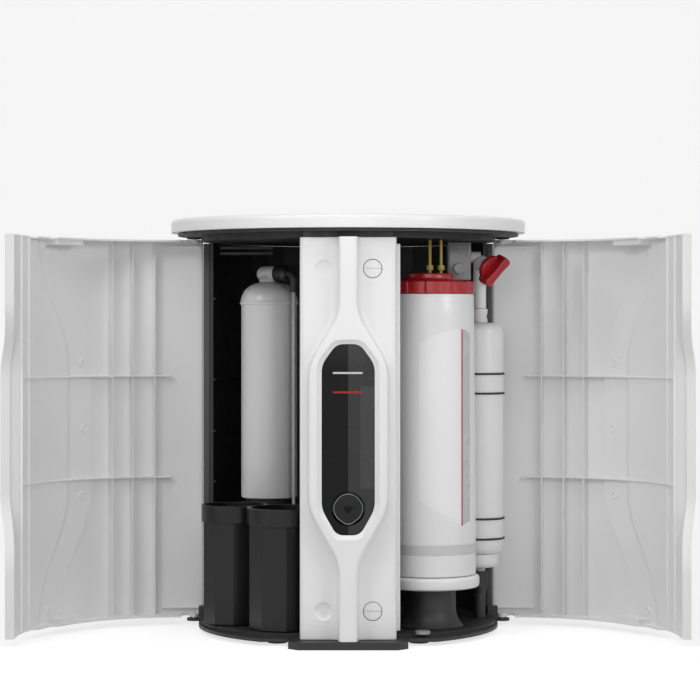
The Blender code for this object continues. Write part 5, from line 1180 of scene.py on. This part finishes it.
top_z = 0.3547
pack = [(0, 0.0653), (0.0464, 0.0653), (0.0478, 0.0664), (0.0478, PACK_BAND[0] - 0.0003), (0.0472, PACK_BAND[0]),
        (0.0472, PACK_BAND[1]), (0.0478, PACK_BAND[1] + 0.0003), (0.0478, 0.120), (0.0473, 0.180),
        (0.0466, 0.260), (0.0460, 0.330), (0.0458, top_z - 0.0015), (0.0450, top_z),
        (0.0160, top_z), (0.0160, 0.3630), (0.0150, 0.3640), (0, 0.3640)]
make("pack_drum", [lathe(pack, PACK, steps=160)], "cabinet", "pack_white", ["big_pack"])
band = [(0.0465, PACK_BAND[0] + 0.0005), (0.0474, PACK_BAND[0] + 0.0005), (0.0474, PACK_BAND[1] - 0.0005),
        (0.0465, PACK_BAND[1] - 0.0005), (0.0465, PACK_BAND[0] + 0.0005)]
make("pack_band", [lathe(band, PACK, steps=160)], "cabinet", "band_grey")
foot = [(0, 0.0647), (0.0470, 0.0647), (0.0478, 0.0645), (0.0498, 0.0640), (0.0511, 0.0628), (0.0515, 0.0610),
        (0.0515, 0.0556), (0.0508, 0.0532), (0.0490, 0.0520), (0.0470, 0.0517), (0, 0.0517)]
make("pack_base", [lathe(foot, PACK, steps=160)], "cabinet", "pack_white", ["pack_foot"])
LABEL = (0.0722, 0.1158)


def label_share(x):
    return (x - LABEL[0]) / (LABEL[1] - LABEL[0])


def label_low(x):
    return 0.1445 - 0.0265 * label_share(x)


def label_high(x):
    """The upper edge climbs to the right and levels off: a + b sin(pi s / 2)."""
    return 0.3036 + 0.0150 * np.sin(np.pi / 2 * np.clip(label_share(x), 0, 1))


def margin_high(x):
    """A rounded shoulder at the outer end of the margin."""
    over = np.clip((x - 0.1178) / 0.0072, 0, 1)
    return 0.3186 - 0.0085 * (1 - np.sqrt(np.maximum(1 - over ** 2, 0)))


def margin_low(x):
    return 0.1180 + 0.4 * (x - LABEL[1])


make("pack_label", [patch(pack_radius, PACK, LABEL, label_low, label_high)], "cabinet",
     "label_white")
make("pack_line", [patch(pack_radius, PACK, (0.1158, 0.1172), label_low, margin_high, 0.0002)],
     "cabinet", "label_red")
make("pack_margin", [patch(pack_radius, PACK, (0.1172, 0.1250), margin_low, margin_high)],
     "cabinet", "label_grey")

RING_LOW, RING_HIGH, HUB_HIGH = 0.3550, 0.3684, 0.3764
ring = [(0.0163, RING_LOW, 0), (0.0450, RING_LOW, 1), (0.0458, RING_LOW + 0.0008, 1),
        (0.0458, RING_HIGH - 0.0012, 1), (0.0446, RING_HIGH, 1), (0.0290, RING_HIGH, 0), (0.0262, 0.3690, 0),
        (0.0248, 0.3706, 0), (0.0243, 0.3726, 0), (0.0243, HUB_HIGH - 0.0012, 0), (0.0232, HUB_HIGH, 0),
        (0.0163, HUB_HIGH, 0), (0.0163, RING_LOW, 0)]
t = np.linspace(0, math.tau, 324, endpoint=False)
teeth = -0.0012 * np.clip(1.6 * np.cos(18 * t) - 0.6, 0, 1)
make("locking_ring", [fluted(ring, PACK, teeth)], "pack_collar", "ring_red", ["pack_collar"])
seat = [(0, 0.0514), (0.0262, 0.0514), (0.0270, 0.0506), (0.0270, 0.0290), (0.0278, 0.0235), (0.0300, 0.0180),
        (0.0332, 0.0135), (0.0350, 0.0118), (0.0348, 0.0108), (0, 0.0108)]
make("pack_pedestal", [lathe(seat, PACK, steps=96)], "cabinet", "trim_black", ["pack_seat"])

# %% [markdown]
# Behind it a clear block feeds a small valve with a red wing knob, and a slim pack hangs below
# with dark bands round it. The valve leans forward and to the right, so its parts are worked out
# upright and turned onto its axis together.

# %% Valve and small pack
block = soften([(0.105, -0.018), (0.130, -0.018), (0.130, 0.008), (0.105, 0.008)], 0.003, 6)
port = lathe([(0, 0), (0.006, 0), (0.006, 0.0070), (0, 0.0070)], (0.1175, -0.024, 0.3825), (0, 1, 0), 48, 0.0008)
make("clear_block", [slab(block, 0.3705, 0.4108, 0.0015), port], "cabinet", "fitting_grey",
     ["manifold"])
VALVE = np.array((0.1405, -0.004, 0.389))
VALVE_WAY = unit(np.array((0.55, -0.75, -0.35)))
TURN = np.array(Vector((0, 0, 1)).rotation_difference(Vector(VALVE_WAY)).to_matrix())
SMALL = (0.140, 0.002, 0.0)


def leaning(made, lift):
    """Points worked out upright, turned onto the valve's axis and moved along it."""
    points, faces = made
    return points @ TURN.T + VALVE + VALVE_WAY * lift, faces


neck = [(0, 0), (0.0085, 0), (0.0085, 0.0160), (0, 0.0160)]
stem = [(0, 0.3403), (0.0070, 0.3403), (0.0070, 0.3950), (0, 0.3950)]
bridge = lathe([(0, 0), (0.006, 0), (0.006, 0.0107), (0, 0.0107)], (0.1303, 0.002, 0.395), (1, 0, 0), 48)
make("valve_neck", [leaning(lathe(neck, (0, 0, 0), steps=64, soft=0.0008), 0.0), bridge,
                    lathe(stem, SMALL, steps=64, soft=0.0008)],
     "cabinet", "pack_white", ["valve_body"])
disc = [(0, 0.0), (0.0136, 0.0), (0.0144, 0.0014), (0.0145, 0.0032), (0.0140, 0.0050), (0.0128, 0.0060),
        (0, 0.0064)]
wing = soften([(-0.006, -0.018), (0.006, -0.018), (0.0045, 0.0), (0.006, 0.018), (-0.006, 0.018), (-0.0045, 0.0)],
              0.0052, 8)
make("wing_knob", [leaning(lathe(disc, (0, 0, 0), steps=96), 0.0163),
                   leaning(slab(wing, 0.001, 0.016, 0.0022), 0.0163)],
     "valve_knob", "ring_red", ["valve_knob"])
small = [(0, 0.0803), (0.0200, 0.0803), (0.0222, 0.0818), (0.0243, 0.0852), (0.0254, 0.0920), (0.0254, 0.3135),
         (0.0246, 0.3185), (0.0222, 0.3225), (0.0180, 0.3246), (0.0134, 0.3252), (0, 0.3252)]
make("small_drum", [lathe(small, SMALL, steps=112)], "cabinet", "pack_white", ["small_pack"])
head = [(0, 0.3255), (0.0085, 0.3255), (0.0085, 0.3290), (0.0078, 0.3300), (0.0078, 0.3340), (0.0085, 0.3350),
        (0.0085, 0.3400), (0, 0.3400)]
make("small_head", [lathe(head, SMALL, steps=64, soft=0.0004)], "cabinet", "pack_white",
     ["small_pack_head"])
cap = [(0, 0.0800), (0.0200, 0.0800), (0.0200, 0.0698), (0.0180, 0.0660), (0.0068, 0.0640), (0.0058, 0.0640),
       (0.0058, 0.0530), (0, 0.0530)]
make("small_base", [lathe(cap, SMALL, steps=96, soft=0.0010)], "cabinet", "pack_white",
     ["small_pack_foot"])
turn = np.linspace(0, math.tau, 17)
bands = []
for z in (0.0965, 0.1178, 0.2505, 0.2712):
    loop = np.stack((0.0262 + 0.0006 * np.cos(turn), z + 0.0011 * np.sin(turn)), -1)
    bands.append(lathe(loop, SMALL, steps=112))
make("small_bands", bands, "cabinet", "trim_black",
     ["small_pack_band_1", "small_pack_band_2", "small_pack_band_3", "small_pack_band_4"])
print("visual pieces are in place")
